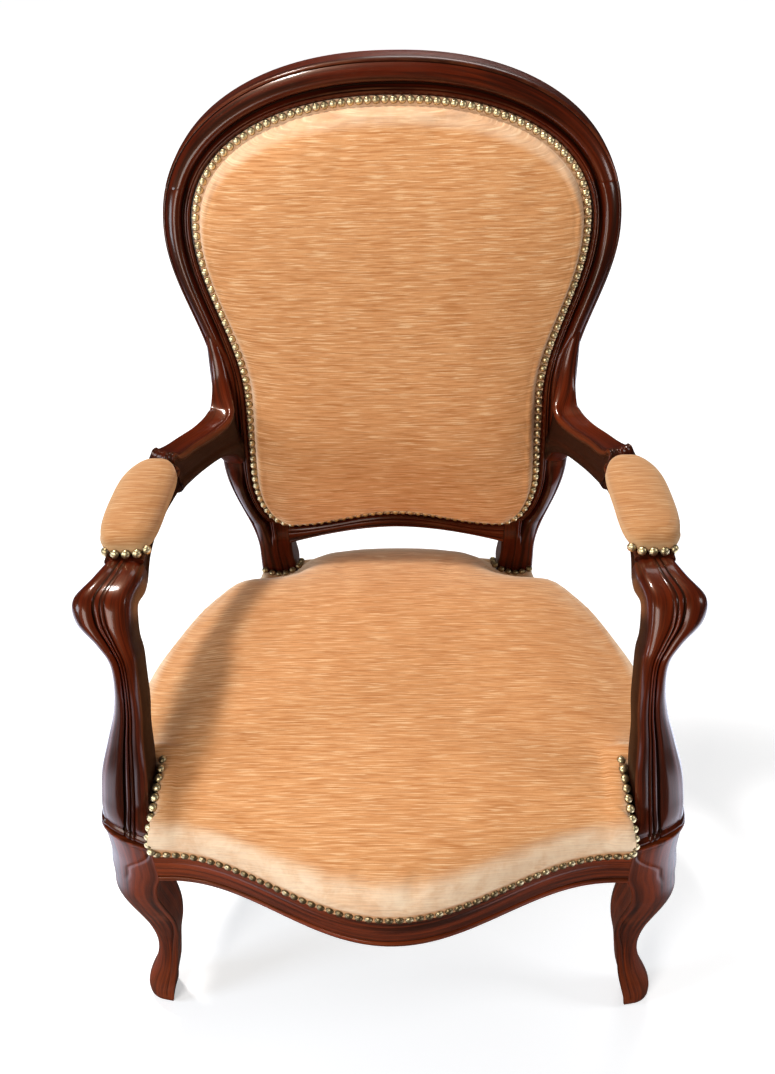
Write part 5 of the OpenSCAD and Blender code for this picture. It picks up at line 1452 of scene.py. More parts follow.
@dataclass(frozen=True)
class SeatLines:
    """Plan and crown of the seat, as in the part's source."""

    rail_top: float = 368.0
    rail_h: float = 54.0
    front_side: float = 287.0
    front_bow: float = 76.0
    back_y: float = 166.0
    middle_y: float = -60.0
    half_w: float = 303.0
    stile_base: float = 186.0
    stile_w: float = 48.0
    rear_drop: float = 12.0
    block_in: float = 253.0
    side_front: float = -223.0
    crown: float = 66.0
    cover_t: float = 1.8
    gap: float = GAP
    low: float = -9.0
    rear_rail_y: float = 197.0

    def front_y(self, x: Array) -> Array:
        """Serpentine front: one cosine wave that dies out before the legs."""
        wave = np.cos(np.pi * clamp(np.abs(x) / (self.block_in - 13)))
        return -self.front_side - self.front_bow / 2 * (1 + wave)

    def side_x(self, y: Array) -> Array:
        """Shaped side, from the front corner in to the upright."""
        shares = ((self.side_front, 0), (-165, 0.004), (-105, 0.042), (-46, 0.126), (0, 0.26),
                  (52, 0.445), (79, 0.588), (108, 0.765), (140, 1), (self.back_y, 1.05))
        flat = np.atleast_1d(np.asarray(y, float))
        share = Rows(shares).at(flat.ravel())[:, 0].reshape(flat.shape)
        return mix(self.half_w, self.stile_base - 2, share)

    def outline(self, z: float, out: float) -> Array:
        """Right half of the cloth's outline at a height, notched round support and upright.

        Args:
            z: height.
            out: how far outside the rails it runs.

        Returns:
            Points (n, 3) of [x, y, 1 where the edge lies on the wood].
        """
        hem = max(0.0, self.cover_t + self.gap - out)
        inner = mix(self.block_in, self.block_in - 3, clamp((z - self.rail_top) / self.crown))
        nx = float(inner) - self.gap - 0.5 - hem
        wrap = 4.0 if z > self.rail_top + 4 else 4.0 * clamp((z - self.rail_top) / 4)
        rear_x = self.stile_base - self.stile_w - self.gap - 1 - hem
        notch = self.side_front + 2 + hem
        rear = self.back_y - self.gap - 1 - hem
        x = np.linspace(0, self.block_in - 6, 56)
        y = np.linspace(self.side_front + 6, self.back_y - 7, 60)

        def side(v: float) -> float:
            """Outline of the side at one place."""
            return float(self.side_x(v)[0]) + out

        front_n = float(self.front_y(nx))
        parts = [
            np.stack([x, self.front_y(x) - out, 0 * x], 1),
            self.line([[nx + 0.6 * wrap, front_n - out, 0],
                       [nx + wrap, front_n + 0.1 + (2.9 + out if wrap > 0 else 0) - out, 1]], 3),
            self.line([[nx, front_n + 9, 1], [nx, notch - 5 - hem, 1]], 10),
            self.line([[nx + 6, notch, 1], [side(notch + 1), notch + 0.9, 1]], 8),
            np.array([[side(notch + 1), notch + 1, 0]]),
            np.stack([self.side_x(y) + out, y, 0 * y], 1),
            np.array([[side(rear - 1), rear - 1, 0]]),
            self.line([[side(rear - 1), rear - 0.9, 1], [rear_x, rear, 1]], 8),
            self.line([[rear_x, rear + 2, 1], [rear_x, self.rear_rail_y + 0.1, 1]], 5),
            self.line([[rear_x - 1, self.rear_rail_y + out, 0],
                       [0, self.rear_rail_y + out, 0]], 24)]
        return np.vstack(parts)

    @staticmethod
    def line(ends: list[list[float]], count: int) -> Array:
        """count points on the straight line between two ends, both included."""
        return mix(np.array(ends[0], float), np.array(ends[1], float),
                   np.linspace(0, 1, count)[:, None])

    def sink(self, x: Array, y: Array, z: Array) -> Array:
        """Height of the seat after it sinks towards the back and where it is tacked."""
        side = clamp(np.abs(x) / (self.stile_base - self.stile_w))
        share = (0.42 + 0.4 * side**2) * ease(self.back_y - 56, self.back_y + 49, y)
        tacked = 0.95 * bump(np.abs(x), self.stile_base - self.stile_w / 2, 42) * ease(
            self.back_y - 78, self.back_y - 10, y)
        tacked = tacked * (1 - ease(self.back_y + 3, self.back_y + 24, y))
        drop = self.rear_drop * ease(self.back_y, self.back_y + 18, y)
        return mix(z, np.minimum(z, self.rail_top), 1 - (1 - share) * (1 - tacked)) - drop

    def ring(self, z: float, out: float, inset: float = 0, shrink: float = 1,
             rounded: float = 0, drop: float = 0) -> Array:
        """One closed line of the seat.

        The outline is drawn in by inset, and blended towards a rounded plan of the crown, whose
        reach in a direction is the reach of |x/a|^p + |y/b|^p = 1.

        Args:
            z: height above the floor before it sinks.
            out: how far outside the rails it runs.
            inset: how far it is drawn in.
            shrink: share of the crown's plan.
            rounded: share of the blend.
            drop: how much it is lowered.

        Returns:
            Points (n, 3).
        """
        p = mirror_half(self.outline(z, out))
        v = p[:, :2] - np.array([0.0, self.middle_y])
        size = np.linalg.norm(v, axis=1)
        c, s = np.abs(v[:, 0]) / size, np.abs(v[:, 1]) / size
        front = v[:, 1] < 0
        b = np.where(front, self.front_side - 48, self.back_y + 80)
        power = np.where(front, 3.4, 2.3)
        reach = ((c / (self.half_w - 60)) ** power + (s / b) ** power) ** (-1 / power)
        drawn = v * (1 - inset / size)[:, None]
        crown = v / size[:, None] * (reach * shrink)[:, None]
        x, y = mix(drawn, crown, rounded).T
        y = y + self.middle_y
        tacked = self.sink(x, y, np.full_like(x, self.rail_top)) + self.gap
        lowest = np.where(p[:, 2] == 1, tacked, 0)
        beside = bump(np.abs(x), 254, 24) * bump(y, -230, 44) * clamp((z - self.rail_top) / 32)
        high = self.sink(x, y, np.full_like(x, z)) - drop + 27.0 * beside
        return np.stack([x, y, np.maximum(lowest, high)], 1)


@dataclass
class SeatRails:
    """Serpentine front rail, shaped side rails and the straight rear rail."""

    lines: SeatLines = field(default_factory=SeatLines)

    def section(self) -> Array:
        """Section as [out from the face, height above the rail's foot]: face, band and bead."""
        return np.array([
            [-27, 54], [-14, 54], [-1.6, 54], [-0.4, 53.6], [0, 52.4], [0, 46], [0, 33],
            [0.25, 31.8], [0.6, 30.5], [0.6, 24], [0.25, 22.5], [0, 21.2], [0, 12], [0.1, 8.6],
            [-0.8, 7.9], [-0.6, 7.2], [0.9, 6.6], [1.9, 5.2], [2.1, 3.4], [1.7, 1.5], [0.7, 0.3],
            [-0.8, 0], [-14, 0], [-27, 0], [-28, 1], [-28, 27], [-28, 53]])

    def front(self) -> Shell:
        """The front rail: its section carried along the serpentine."""
        s = self.lines
        x = np.linspace(-s.block_in, s.block_in, 190)
        sec = smooth_rings(self.section(), 3)
        z = s.rail_top - s.rail_h + sec[:, 1]
        y = s.front_y(x)[:, None] - sec[:, 0]
        return tube(grid(x[:, None], y, z))

    def side(self) -> Shell:
        """The right side rail: the same section along the shaped side."""
        s = self.lines
        y = np.linspace(s.side_front, s.back_y, 150)
        sec = smooth_rings(self.section(), 3)
        z = s.rail_top - s.rail_h + sec[:, 1]
        x = s.side_x(y)[:, None] + sec[:, 0]
        return tube(grid(x, y[:, None], z))

    def rear(self) -> Shell:
        """The rear rail: a plain board with eased edges."""
        s = self.lines
        high, thick = s.rail_h - s.rear_drop, 25.0
        board = np.array([[0, 1.2], [0.3, 0.3], [1.2, 0], [12, 0], [thick - 1.2, 0],
                          [thick - 0.3, 0.3], [thick, 1.2], [thick, high / 2], [thick, high - 1.2],
                          [thick - 0.3, high - 0.3], [thick - 1.2, high], [12, high], [1.2, high],
                          [0.3, high - 0.3], [0, high - 1.2], [0, high / 2]])
        half = s.stile_base - s.stile_w
        x = np.linspace(half, -half, 40)[:, None]
        return tube(grid(x, s.back_y + 6 + board[:, 0], s.rail_top - s.rail_h + board[:, 1]))

    def build(self, shop: Workshop) -> None:
        """Places the four rails."""
        shop.place("front_rail", self.front(), "mahogany_seat", ("seat_rail_front",))
        shop.pair("side_rail", self.side(), "mahogany_seat", "seat_rail")
        shop.place("rear_rail", self.rear(), "mahogany_seat", ("seat_rail_rear",))


@dataclass(frozen=True)
class Stuffing:
    """Swells a pad's cover under the pressure of its stuffing, by a short cloth simulation."""

    voxel: float = 6.0
    reach: float = 7.0
    slack: float = 3.0
    pressure: float = 4.0
    frames: int = 20

    def swell(self, piece: bpy.types.Object, held: Callable[[Array], Array]) -> None:
        """Runs the simulation on a remeshed copy and moves the piece's points as it moved.

        The copy starts a little smaller, its held points are pinned, and no point may end further
        than reach from where it was. A point of the piece takes the mean of the four nearest
        points of the copy, weighted by one over the square of the distance.

        Args:
            piece: the pad.
            held: says for points (n, 3) in millimetres which of them stay.
        """
        scene, mesh = bpy.context.scene, self.remeshed(piece)
        start = self.read(mesh, "co")
        fixed = held(start / MM)
        inside = start - self.read(mesh, "normal") * np.where(fixed, 0, self.slack * MM)[:, None]
        mesh.vertices.foreach_set("co", inside.ravel())
        copy = link("swelling", mesh)
        copy.vertex_groups.new(name="held").add(np.flatnonzero(fixed).tolist(), 1.0, "REPLACE")
        cloth = copy.modifiers.new("cloth", "CLOTH")
        cloth.settings.vertex_group_mass = "held"
        cloth.settings.use_pressure = True
        cloth.settings.uniform_pressure_force = self.pressure
        cloth.settings.effector_weights.gravity = 0.0
        cloth.collision_settings.use_collision = False
        cloth.point_cache.frame_end = self.frames
        for number in range(1, self.frames + 1):
            scene.frame_set(number)
        end = self.read(copy.evaluated_get(bpy.context.evaluated_depsgraph_get()).data, "co")
        scene.frame_set(1)
        bpy.data.objects.remove(copy)
        move = end - start
        far = np.linalg.norm(move, axis=1, keepdims=True)
        move *= np.minimum(1, self.reach * MM / np.maximum(far, 1e-9))
        points = self.read(piece.data, "co")
        moved = points + np.vstack([self.carried(part, start, move)
                                    for part in np.array_split(points, len(points) // 400 + 1)])
        piece.data.vertices.foreach_set("co", moved.ravel())
        piece.data.update()
        LOG.info("%s: swelled by up to %.1f mm", piece.name, float(far.max()) / MM)

    @staticmethod
    def read(mesh: bpy.types.Mesh, name: str) -> Array:
        """A value of all vertices as an array (n, 3)."""
        flat = np.empty(len(mesh.vertices) * 3, np.float32)
        mesh.vertices.foreach_get(name, flat)
        return flat.reshape(-1, 3)

    @staticmethod
    def carried(points: Array, start: Array, move: Array) -> Array:
        """The move at points, from the four nearest places whose move is known."""
        far = ((points**2).sum(1)[:, None] + (start**2).sum(1)[None] - 2 * points @ start.T)
        near = np.argpartition(far, 4, axis=1)[:, :4]
        weight = 1 / np.maximum(np.take_along_axis(far, near, 1), 1e-6)
        return (move[near] * (weight / weight.sum(1, keepdims=True))[:, :, None]).sum(1)

    def remeshed(self, piece: bpy.types.Object) -> bpy.types.Mesh:
        """A copy of the piece's mesh made of even squares by a voxel remesh."""
        copy = link("remeshing", piece.data.copy())
        modifier = copy.modifiers.new("voxels", "REMESH")
        modifier.mode, modifier.voxel_size = "VOXEL", self.voxel * MM
        graph = bpy.context.evaluated_depsgraph_get()
        mesh = bpy.data.meshes.new_from_object(copy.evaluated_get(graph))
        bpy.data.objects.remove(copy)
        return mesh


@dataclass
class SeatPad:
    """Sprung and stuffed seat under close-nailed velvet."""

    lines: SeatLines = field(default_factory=SeatLines)
    rows: int = 46

    def profile(self) -> Rows:
        """Rows of [position, height above the rails, out, inset, shrink, roundness]."""
        s, c, t = self.lines, self.lines.crown, self.lines.cover_t
        return Rows((
            (0, s.low, t + s.gap, 0, 1, 0), (1, 2, t + s.gap + 0.1, 0, 1, 0),
            (2, 0.2 * c, t + 4.2, 0, 1, 0), (3, 0.42 * c, t + 2, 2, 1, 0.04),
            (4, 0.60 * c, 0, 7, 1.06, 0.18), (5, 0.76 * c, 0, 20, 0.98, 0.6),
            (6, 0.89 * c, 0, 0, 0.78, 1), (7, 0.97 * c, 0, 0, 0.48, 1), (8, c, 0, 0, 0.12, 1)))

    def shell(self) -> Shell:
        """The pad: rings from the hem up over the crown, and back inside down to the webbing."""
        s = self.lines
        k = np.concatenate([[0.0, 0.06], np.linspace(0.2, 8, self.rows)])
        r = self.profile().at(k)
        over = [s.ring(s.rail_top + a, max(0.0, b), c, d, float(np.clip(e, 0, 1)))
                for a, b, c, d, e in r]
        under = [s.ring(s.rail_top, 0, 0, share, 1, -19.8) for share in (0.05, 0.4, 0.84)]
        under += [s.ring(s.rail_top, 0, inset, 1, 0, -s.gap) for inset in (12, 1.5)]
        under += [s.ring(s.rail_top + up, s.gap) for up in (0.2, s.low)]
        shell = tube(np.array(under + over))
        p = shell.points
        # The rings where the cloth rolls over the edge are marked for the velvet's pale painted
        # sheen.
        edge = ease(0.8, 1.8, k) * (1 - ease(2.2, 5.4, k))
        return shell.laid(p[:, 0], p[:, 1] + p[:, 2]).marked(
            np.concatenate([np.zeros(len(under)), edge]))

    def build(self, shop: Workshop) -> None:
        """Places the pad, which stands for cover, stuffing and hessian."""
        pad = shop.place("seat_pad", self.shell(), "velvet",
                         ("seat_cover", "seat_stuffing", "seat_hessian"), CLOTH_ANGLE)
        Stuffing().swell(pad, self.held)

    def held(self, p: Array) -> Array:
        """Points at the hem, below it, or beside the supports and uprights."""
        x, y, z = np.abs(p[:, 0]), p[:, 1], p[:, 2]
        return ((z < self.lines.rail_top + 10) | ((x > 228) & (y < -190)) | (y > 145)
                | (x > self.lines.side_x(y) - 4))


@dataclass
class BackPad:
    """Stuffed back between the nail lines, and the flat cover behind it."""

    lines: BackLines = field(default_factory=BackLines)
    crown: float = 29.0
    cover_t: float = 1.8
    gap: float = GAP
    nail_r: float = 4.8

    def shell(self) -> Shell:
        """The pad: the nail line drawn in ring by ring over the crown, and flat behind."""
        b = self.lines
        edge = b.ledge_drop - self.gap - self.cover_t
        n = -self.nail_r
        rows = Rows(((0, 4, 0, 1), (1, n - 0.8, 0, 1), (2, n - 2.5, 0.28, 1), (3, n - 8, 0.56, 1),
                     (4, n - 20, 0.76, 1), (5, n - 48, 0.91, 1), (6, n - 48, 0.98, 0.6),
                     (7, n - 48, 1, 0.1)))
        r = rows.at(np.concatenate([np.linspace(0, 1, 5), np.linspace(1.1, 5, 26),
                                    np.linspace(5.15, 7, 16)]))
        half = b.panel_half(150)
        depth = mix(edge, -self.crown, np.maximum(r[:, 1], 0))
        over = b.panel_ring(half, r[:, 0], depth, r[:, 2])
        under = b.panel_ring(half, np.array([-12.3, -12.3, -12.3, -9.3, 3.9]),
                             np.array([1.4, 1.4, 1.4, edge + self.cover_t, edge + self.cover_t]),
                             np.array([0.03, 0.5, 1.0, 1.0, 1.0]))
        shell = tube(np.concatenate([under, over]))
        p = shell.points
        # The edge by the nail line is marked for the velvet's pale painted sheen, wider at the top
        # and on the left, where the light falls.
        line = mirror_half(half)
        crown = clamp((line[:, 1] - b.balloon_z) / (b.panel_top - b.balloon_z))
        reach = 13 + 3 * clamp(-line[:, 0] / b.panel_wide) + 17 * crown**1.5
        edge = 0.6 * (1 - ease(0.2, 1.0, (-r[:, :1] - self.nail_r) / reach))
        edge = np.vstack([np.zeros((len(under), len(line))), np.where(r[:, 2:] < 1, 0, edge)])
        return shell.laid(p[:, 0], p[:, 2] * LEAN).marked(edge)

    def held(self, p: Array) -> Array:
        """Points less than 14 mm inside the nail line, or behind the frame's face."""
        b = self.lines
        half = np.minimum(b.panel(p[:, 2]), 1e4) - 14
        foot = b.panel_foot(p[:, 0]) + 14
        return ((np.abs(p[:, 0]) > half) | (p[:, 2] < foot) | (p[:, 2] > b.panel_top - 14)
                | (p[:, 1] > b.y(p[:, 2]) - 3))

    def rear_sheet(self) -> tuple[Shell, float]:
        """The cover of the rear face, as thin rings between its two sides.

        Returns:
            The shell and the area of one side in square metres.
        """
        b = self.lines
        half = b.panel_half(110)
        shrink = np.linspace(0.12, 1, 22)
        back = b.depth + self.gap
        near = b.panel_ring(half, 0 * shrink + 4, 0 * shrink + back, shrink)
        far = b.panel_ring(half, 0 * shrink + 4, 0 * shrink + back + SHEET_T, shrink)
        shell = tube(np.concatenate([near, far[::-1]]))
        p = shell.points
        laid = shell.laid(p[:, 0], p[:, 2] * LEAN).marked(np.zeros(2 * len(shrink)))
        return laid, area_inside(far[-1, :, 0], far[-1, :, 2] * 1.07)

    def build(self, shop: Workshop) -> None:
        """Places the pad and the rear cover."""
        pad = shop.place("back_pad", self.shell(), "velvet",
                         ("back_cover", "back_stuffing", "back_hessian"), CLOTH_ANGLE)
        Stuffing(reach=5.0).swell(pad, self.held)
        sheet, area = self.rear_sheet()
        cover = shop.place("rear_cover", sheet, "velvet", ("back_outer_cover",))


@dataclass
class ArmPads:
    """Two stuffed pads with rounded crowns on the arms."""

    arm_z: float = 637.0
    length: float = 152.0
    height: float = 31.0
    half_w: float = 32.0
    middle_y: float = -50.0
    power: float = 0.54

    def axis(self, y: Array) -> Array:
        """Distance of the arm's middle line from the chair's, for a place along it."""
        rows = Rows(((-27, 259), (12, 265), (50, 268), (90, 269), (130, 268.5)))
        return rows.at(-np.asarray(y, float).ravel())[:, 0].reshape(np.shape(y))

    def outline(self, angle: Array, inset: Array) -> Array:
        """Plan of the pad: a rounded oblong |cos|^p, |sin|^p, narrower at its ends.

        Args:
            angle: directions (n,).
            inset: how far each ring is drawn in (m, 1).

        Returns:
            Points (m, n, 2).
        """
        u, v = signed_power(np.cos(angle), self.power), signed_power(np.sin(angle), self.power)
        y = self.middle_y + (self.length / 2 - inset) * v
        w = self.half_w * (1 - mix(0.06, 0.2, ease(0, 1, v)) * np.abs(v) ** 3)
        return np.stack([self.axis(y) + np.maximum(0.5, w - inset) * u, y], -1)

    def shell(self) -> Shell:
        """The right pad: its outline drawn in ring by ring up to the crown, flat below.

        Over the crown the last ring shrinks to a pole, and the height grows by 1 - share squared.
        """
        rows = Rows(((0, 5, 0), (1, 1, 0.16), (2, 0, 0.34), (3, 1.2, 0.55), (4, 5, 0.74),
                     (5, 12, 0.89)))
        r = rows.at(np.linspace(0, 5, 30))
        angle = np.linspace(0, 2 * np.pi, 120, endpoint=False)
        share = np.concatenate([[0.06, 0.35, 0.75, 1.0], np.ones(len(r)),
                                np.linspace(0.93, 0.04, 16)])
        inset = np.concatenate([[8.0] * 4, r[:, 0], [12.0] * 16])[:, None]
        high = np.concatenate([[0.0] * 4, r[:, 1], 0.89 + 0.13 * (1 - share[-16:] ** 2)])
        z = self.arm_z + GAP + high * self.height
        plan = self.outline(angle, inset)
        y = self.middle_y + (plan[..., 1] - self.middle_y) * share[:, None]
        x = self.axis(y) + (plan[..., 0] - self.axis(plan[..., 1])) * share[:, None]
        shell = tube(grid(x, y, z[:, None]))
        p = shell.points
        # The rings where the cloth rolls over the pad's lower edge are marked for the velvet's pale
        # painted sheen.
        edge = np.concatenate([np.zeros(4), 1 - ease(1.2, 4.2, np.linspace(0, 5, 30)),
                               np.zeros(16)])
        return shell.laid(p[:, 0], p[:, 1] + p[:, 2]).marked(edge)

    def build(self, shop: Workshop) -> None:
        """Places both pads."""
        right = self.shell()
        for side, shell in (("right", right), ("left", right.mirrored())):
            pad = shop.place(f"arm_pad_{side}", shell, "velvet_arms",
                             (f"arm_pad_cover_{side}", f"arm_pad_stuffing_{side}"), CLOTH_ANGLE)
            Stuffing(voxel=4.0, reach=3.0, slack=1.5).swell(pad, self.held)

    def held(self, p: Array) -> Array:
        """Points low on the pad."""
        return p[:, 2] < self.arm_z + 9


@dataclass
class NailRows:
    """Rows of domed nails along every edge of the velvet."""

    back: BackLines = field(default_factory=BackLines)
    seat: SeatLines = field(default_factory=SeatLines)
    pads: ArmPads = field(default_factory=ArmPads)
    width: float = 9.6
    pitch: float = 10.0

    def back_rows(self) -> tuple[Shell, Shell]:
        """Nails round the pad and, set wider, round the rear cover.

        Returns:
            The two shells.
        """
        b = self.back
        line = mirror_half(b.panel_half(400))

        def facing(z: Array, sign: float) -> Array:
            """Direction square to the leaning face."""
            slope = (b.y(z + 1) - b.y(z - 1)) / 2
            return grid(0, -sign, sign * slope)

        p = walk(line, self.pitch, True)
        front = grid(p[:, 0], b.y(p[:, 1]) + 2.9 - 0.6, p[:, 1])
        q = walk(line, 2.2 * self.pitch, True)
        rear = grid(q[:, 0], b.y(q[:, 1]) + b.depth + GAP + SHEET_T + 0.4, q[:, 1])
        return (domes(front, facing(p[:, 1], 1.0), self.width, 11),
                domes(rear, facing(q[:, 1], -1.0), self.width, 12))

    def seat_rows(self) -> Shell:
        """Nails along the front rail, the side rails and up beside each arm support."""
        s = self.seat
        z = s.rail_top + s.low + self.width / 2 + 0.2
        stand = s.cover_t + s.gap + 0.2
        x = np.linspace(-(s.block_in - 6), s.block_in - 6, 240)
        front = walk(np.stack([x, s.front_y(x)], 1), self.pitch, False)
        slope = (s.front_y(front[:, 0] + 1) - s.front_y(front[:, 0] - 1)) / 2
        look = unit(grid(slope, -1, 0))
        places = [np.column_stack([front, np.full(len(front), z)]) + look * stand]
        facings = [look]
        y = np.linspace(s.side_front + 10, s.back_y - 12, 160)
        side = walk(np.stack([s.side_x(y), y], 1), self.pitch, False)
        slope = (s.side_x(side[:, 1] + 1) - s.side_x(side[:, 1] - 1)) / 2
        look = unit(grid(1, -slope, 0))
        side_places = np.column_stack([side, np.full(len(side), z)]) + look * stand
        foot, foot_look = self.foot_row()
        for p, n in ((foot, foot_look), (side_places, look), self.corner_row()):
            places += [p, p * FLIP]
            facings += [n, n * FLIP]
        dark = len(front) + 2 * len(foot)
        return domes(np.vstack(places), np.vstack(facings), self.width, 13, dark)

    def foot_row(self) -> tuple[Array, Array]:
        """Nails round the front and the inner side of the right upright's foot.

        Returns:
            Their places and facings.
        """
        s = self.seat
        inside = s.stile_base - s.stile_w
        line = np.array([[s.stile_base - 5, s.back_y - 5.0], [s.stile_base - 9, s.back_y - 5.5],
                         [inside + 4, s.back_y - 5.5], [inside - 4.5, s.back_y - 2],
                         [inside - 5.5, s.back_y + 16]])
        p = walk(line, 9.2, False)
        z = s.sink(p[:, 0], p[:, 1], np.full(len(p), s.rail_top + 0.9 * s.crown))
        look = np.tile([[-0.2, -0.45, 0.85]], (len(p), 1))
        return np.column_stack([p, z + 0.4]), look

    def corner_row(self) -> tuple[Array, Array]:
        """Nails up the velvet's edge beside the right arm support.

        Returns:
            Their places and facings.
        """
        line = np.array([[251.6, -291.0, 371.5], [253.4, -289.5, 381.0], [252.0, -285.0, 395.0],
                         [249.0, -274.5, 408.0], [246.6, -256.0, 419.0], [245.0, -238.0, 427.0],
                         [243.5, -219.0, 433.0]])
        path = walk(smooth_open(line, 12), self.pitch, False)
        t = np.linspace(0, 1, len(path))[:, None]
        bent = np.array([[0.0, 0.35, -1.0, 0.1], [0.38, 0.25, -0.8, 0.6], [1.0, 0.2, -0.15, 0.95]])
        look = np.column_stack([np.interp(t[:, 0], bent[:, 0], bent[:, k]) for k in (1, 2, 3)])
        look = unit(look)
        return path + look * 0.6, look

    def pad_rows(self) -> Shell:
        """Five nails across the front end of each arm pad."""
        angle = np.radians(np.arange(237.0, 295.0, 3.0))
        line = self.pads.outline(angle, np.array([[-1.35]]))[0]
        p = walk(line, 10.2, False)
        side = (np.arange(len(p)) - (len(p) - 1) / 2) / len(p) * 1.5
        look = grid(side, -1, 0.3)
        right = np.column_stack([p, np.full(len(p), self.pads.arm_z + 5.2)])
        return domes(np.vstack([right, right * FLIP]), np.vstack([look, look * FLIP]), 9.8, 14)

    def build(self, shop: Workshop) -> None:
        """Places the four groups of nails."""
        front, rear = self.back_rows()
        shop.place("nails_back", front, "brass", ("back_nails",), NAIL_ANGLE)
        shop.place("nails_rear", rear, "brass", ("back_outer_nails",), NAIL_ANGLE)
        shop.place("nails_seat", self.seat_rows(), "brass", ("seat_nails",), NAIL_ANGLE)
        shop.place("nails_arm_pads", self.pad_rows(), "brass", ("arm_pad_nails",), NAIL_ANGLE)


def smooth_open(points: Array, per: int) -> Array:
    """A smooth open curve through points, with per points for each span."""
    at = np.arange(len(points), dtype=float)
    rows = Rows(tuple(map(tuple, np.column_stack([at, points]))))
    return rows.at(np.linspace(0, len(points) - 1, (len(points) - 1) * per + 1))


@dataclass
class Underside:
    """Webbing, springs and dust cover under the seat, and the webbing of the back."""

    seat: SeatLines = field(default_factory=SeatLines)
    back: BackLines = field(default_factory=BackLines)
    web_t: float = 1.2
    web_w: float = 50.0
    step: float = 75.0
    middle_y: float = -50.0
    wire: float = 3.6
    coil_w: float = 84.0
    turns: int = 4
    lining_t: float = 0.8

    @property
    def web_z(self) -> float:
        """Underside of the upper straps."""
        return self.seat.rail_top - self.seat.rail_h - GAP - self.web_t

    def strap(self, path: Array, across: Array, thick: Array) -> Shell:
        """A woven strap: a thin rounded oblong carried along a path.

        Args:
            path: middle line (m, 3).
            across: unit direction of its width (3,).
            thick: unit direction of its thickness (3,).

        Returns:
            The shell.
        """
        w, t = self.web_w / 2, self.web_t / 2
        oblong = np.array([[-w, 0], [-w + 0.4, -t], [0, -t], [w - 0.4, -t], [w, 0], [w - 0.4, t],
                           [0, t], [-w + 0.4, t]])
        return tube(path[:, None] + oblong[None, :, :1] * across + oblong[None, :, 1:] * thick)

    def seat_webbing(self) -> Shell:
        """Five straps each way, going over and under each other."""
        s, shells = self.seat, []
        for k in range(-2, 3):
            x = k * self.step
            y = np.linspace(float(s.front_y(abs(x) + 25)) + 7, self.rear_end(abs(x) + 25), 60)
            wave = (-1) ** k * np.cos(np.pi * (y - self.middle_y) / self.step)
            z = self.web_z + self.web_t / 2 - 0.6 + 0.55 * wave
            shells.append(self.strap(grid(x, y, z), ACROSS, UP))
            y0 = self.middle_y + k * self.step
            half = float(s.side_x(np.array([y0 - 25, y0 + 25])).min()) - 7
            x = np.linspace(-half, half, 80)
            wave = -((-1) ** k) * np.cos(np.pi * x / self.step)
            z = self.web_z + self.web_t / 2 - 0.6 + 0.55 * wave
            shells.append(self.strap(grid(x, y0, z), BACK, UP))
        return join(shells)

    def rear_end(self, x: float) -> float:
        """How far back a strap at distance x from the middle can reach."""
        s = self.seat
        if x < s.stile_base - s.stile_w - 6:
            return s.rear_rail_y - 8
        y = np.linspace(s.side_front, s.back_y - 8, 300)
        return float(y[s.side_x(y) - 8 > x].max())

    def springs(self) -> Shell:
        """Five waisted coil springs: a helix whose radius is least at its middle."""
        t = np.linspace(0, 1, self.turns * 36 + 1)
        turn = np.radians(-90 + 360 * self.turns * t)
        radius = (self.coil_w - self.wire) / 2 * mix(0.62, 1, (2 * t - 1) ** 2)
        low = float(ease(-0.12, 1.12, 0))
        rise = (ease(-0.12, 1.12, t) - low) / (1 - 2 * low)
        base = self.web_z + self.web_t + 0.15
        high = self.seat.rail_top + 0.3 * self.seat.crown - 2 - base
        z = self.wire / 2 + (high - self.wire) * rise
        out = grid(np.cos(turn), np.sin(turn), 0)
        path = out * radius[:, None] + z[:, None] * UP
        a = np.linspace(0, 2 * np.pi, 8, endpoint=False)
        one = tube(path[:, None] + self.wire / 2 * (
            np.cos(a)[None, :, None] * out[:, None] + np.sin(a)[None, :, None] * UP))
        places = ((-1, -1), (1, -1), (0, 0), (-1, 1), (1, 1))
        return join([replace(one, points=one.points + (
            i * self.step, self.middle_y + j * self.step, base)) for i, j in places])

    def dust_cover(self) -> tuple[Shell, float]:
        """The lining under the seat, sagging a little in its middle.

        Returns:
            The shell and the area of one side in square metres.
        """
        s = self.seat
        outline = s.ring(s.rail_top, 0, 4)[:, :2]
        middle = np.array([0.0, s.middle_y])
        share = np.linspace(0.02, 1, 22)
        plan = middle + (outline - middle)[None] * share[:, None, None]
        z = self.web_z - self.web_t - GAP - 0.9 - 2.2 * (1 - share**2)
        near = grid(plan[..., 0], plan[..., 1], z[:, None])
        shell = tube(np.concatenate([near, near[::-1] - self.lining_t * UP]))
        return shell, area_inside(*outline.T)

    def back_webbing(self) -> Shell:
        """Three straps up and three across, on the ledge of the back."""
        b, shells = self.back, []
        for x in (-0.406 * b.panel_wide, 0.0, 0.406 * b.panel_wide):
            low = float(b.panel_foot(abs(x) + 25)) + 22
            arch = float(bow(b.panel_wide, b.panel_top - b.balloon_z, abs(x) + 25))
            high = b.balloon_z + arch - 13
            z = np.linspace(low, high, 50)
            shells.append(self.strap(grid(x, b.y(z) + 2.6, z), ACROSS, BACK))
        for share in (0.28, 0.5, 0.72):
            h = mix(b.panel_low, b.panel_top, share)
            half = float(b.panel(np.array([h - 25, h + 25])).min()) - 13
            x = np.linspace(-half, half, 30)
            slope = unit(np.array([0, float(b.y(h + 25) - b.y(h - 25)) / 50, 1.0]))
            shells.append(self.strap(grid(x, float(b.y(h)) + 3.9, h), slope,
                                     np.array([0, slope[2], -slope[1]])))
        return join(shells)

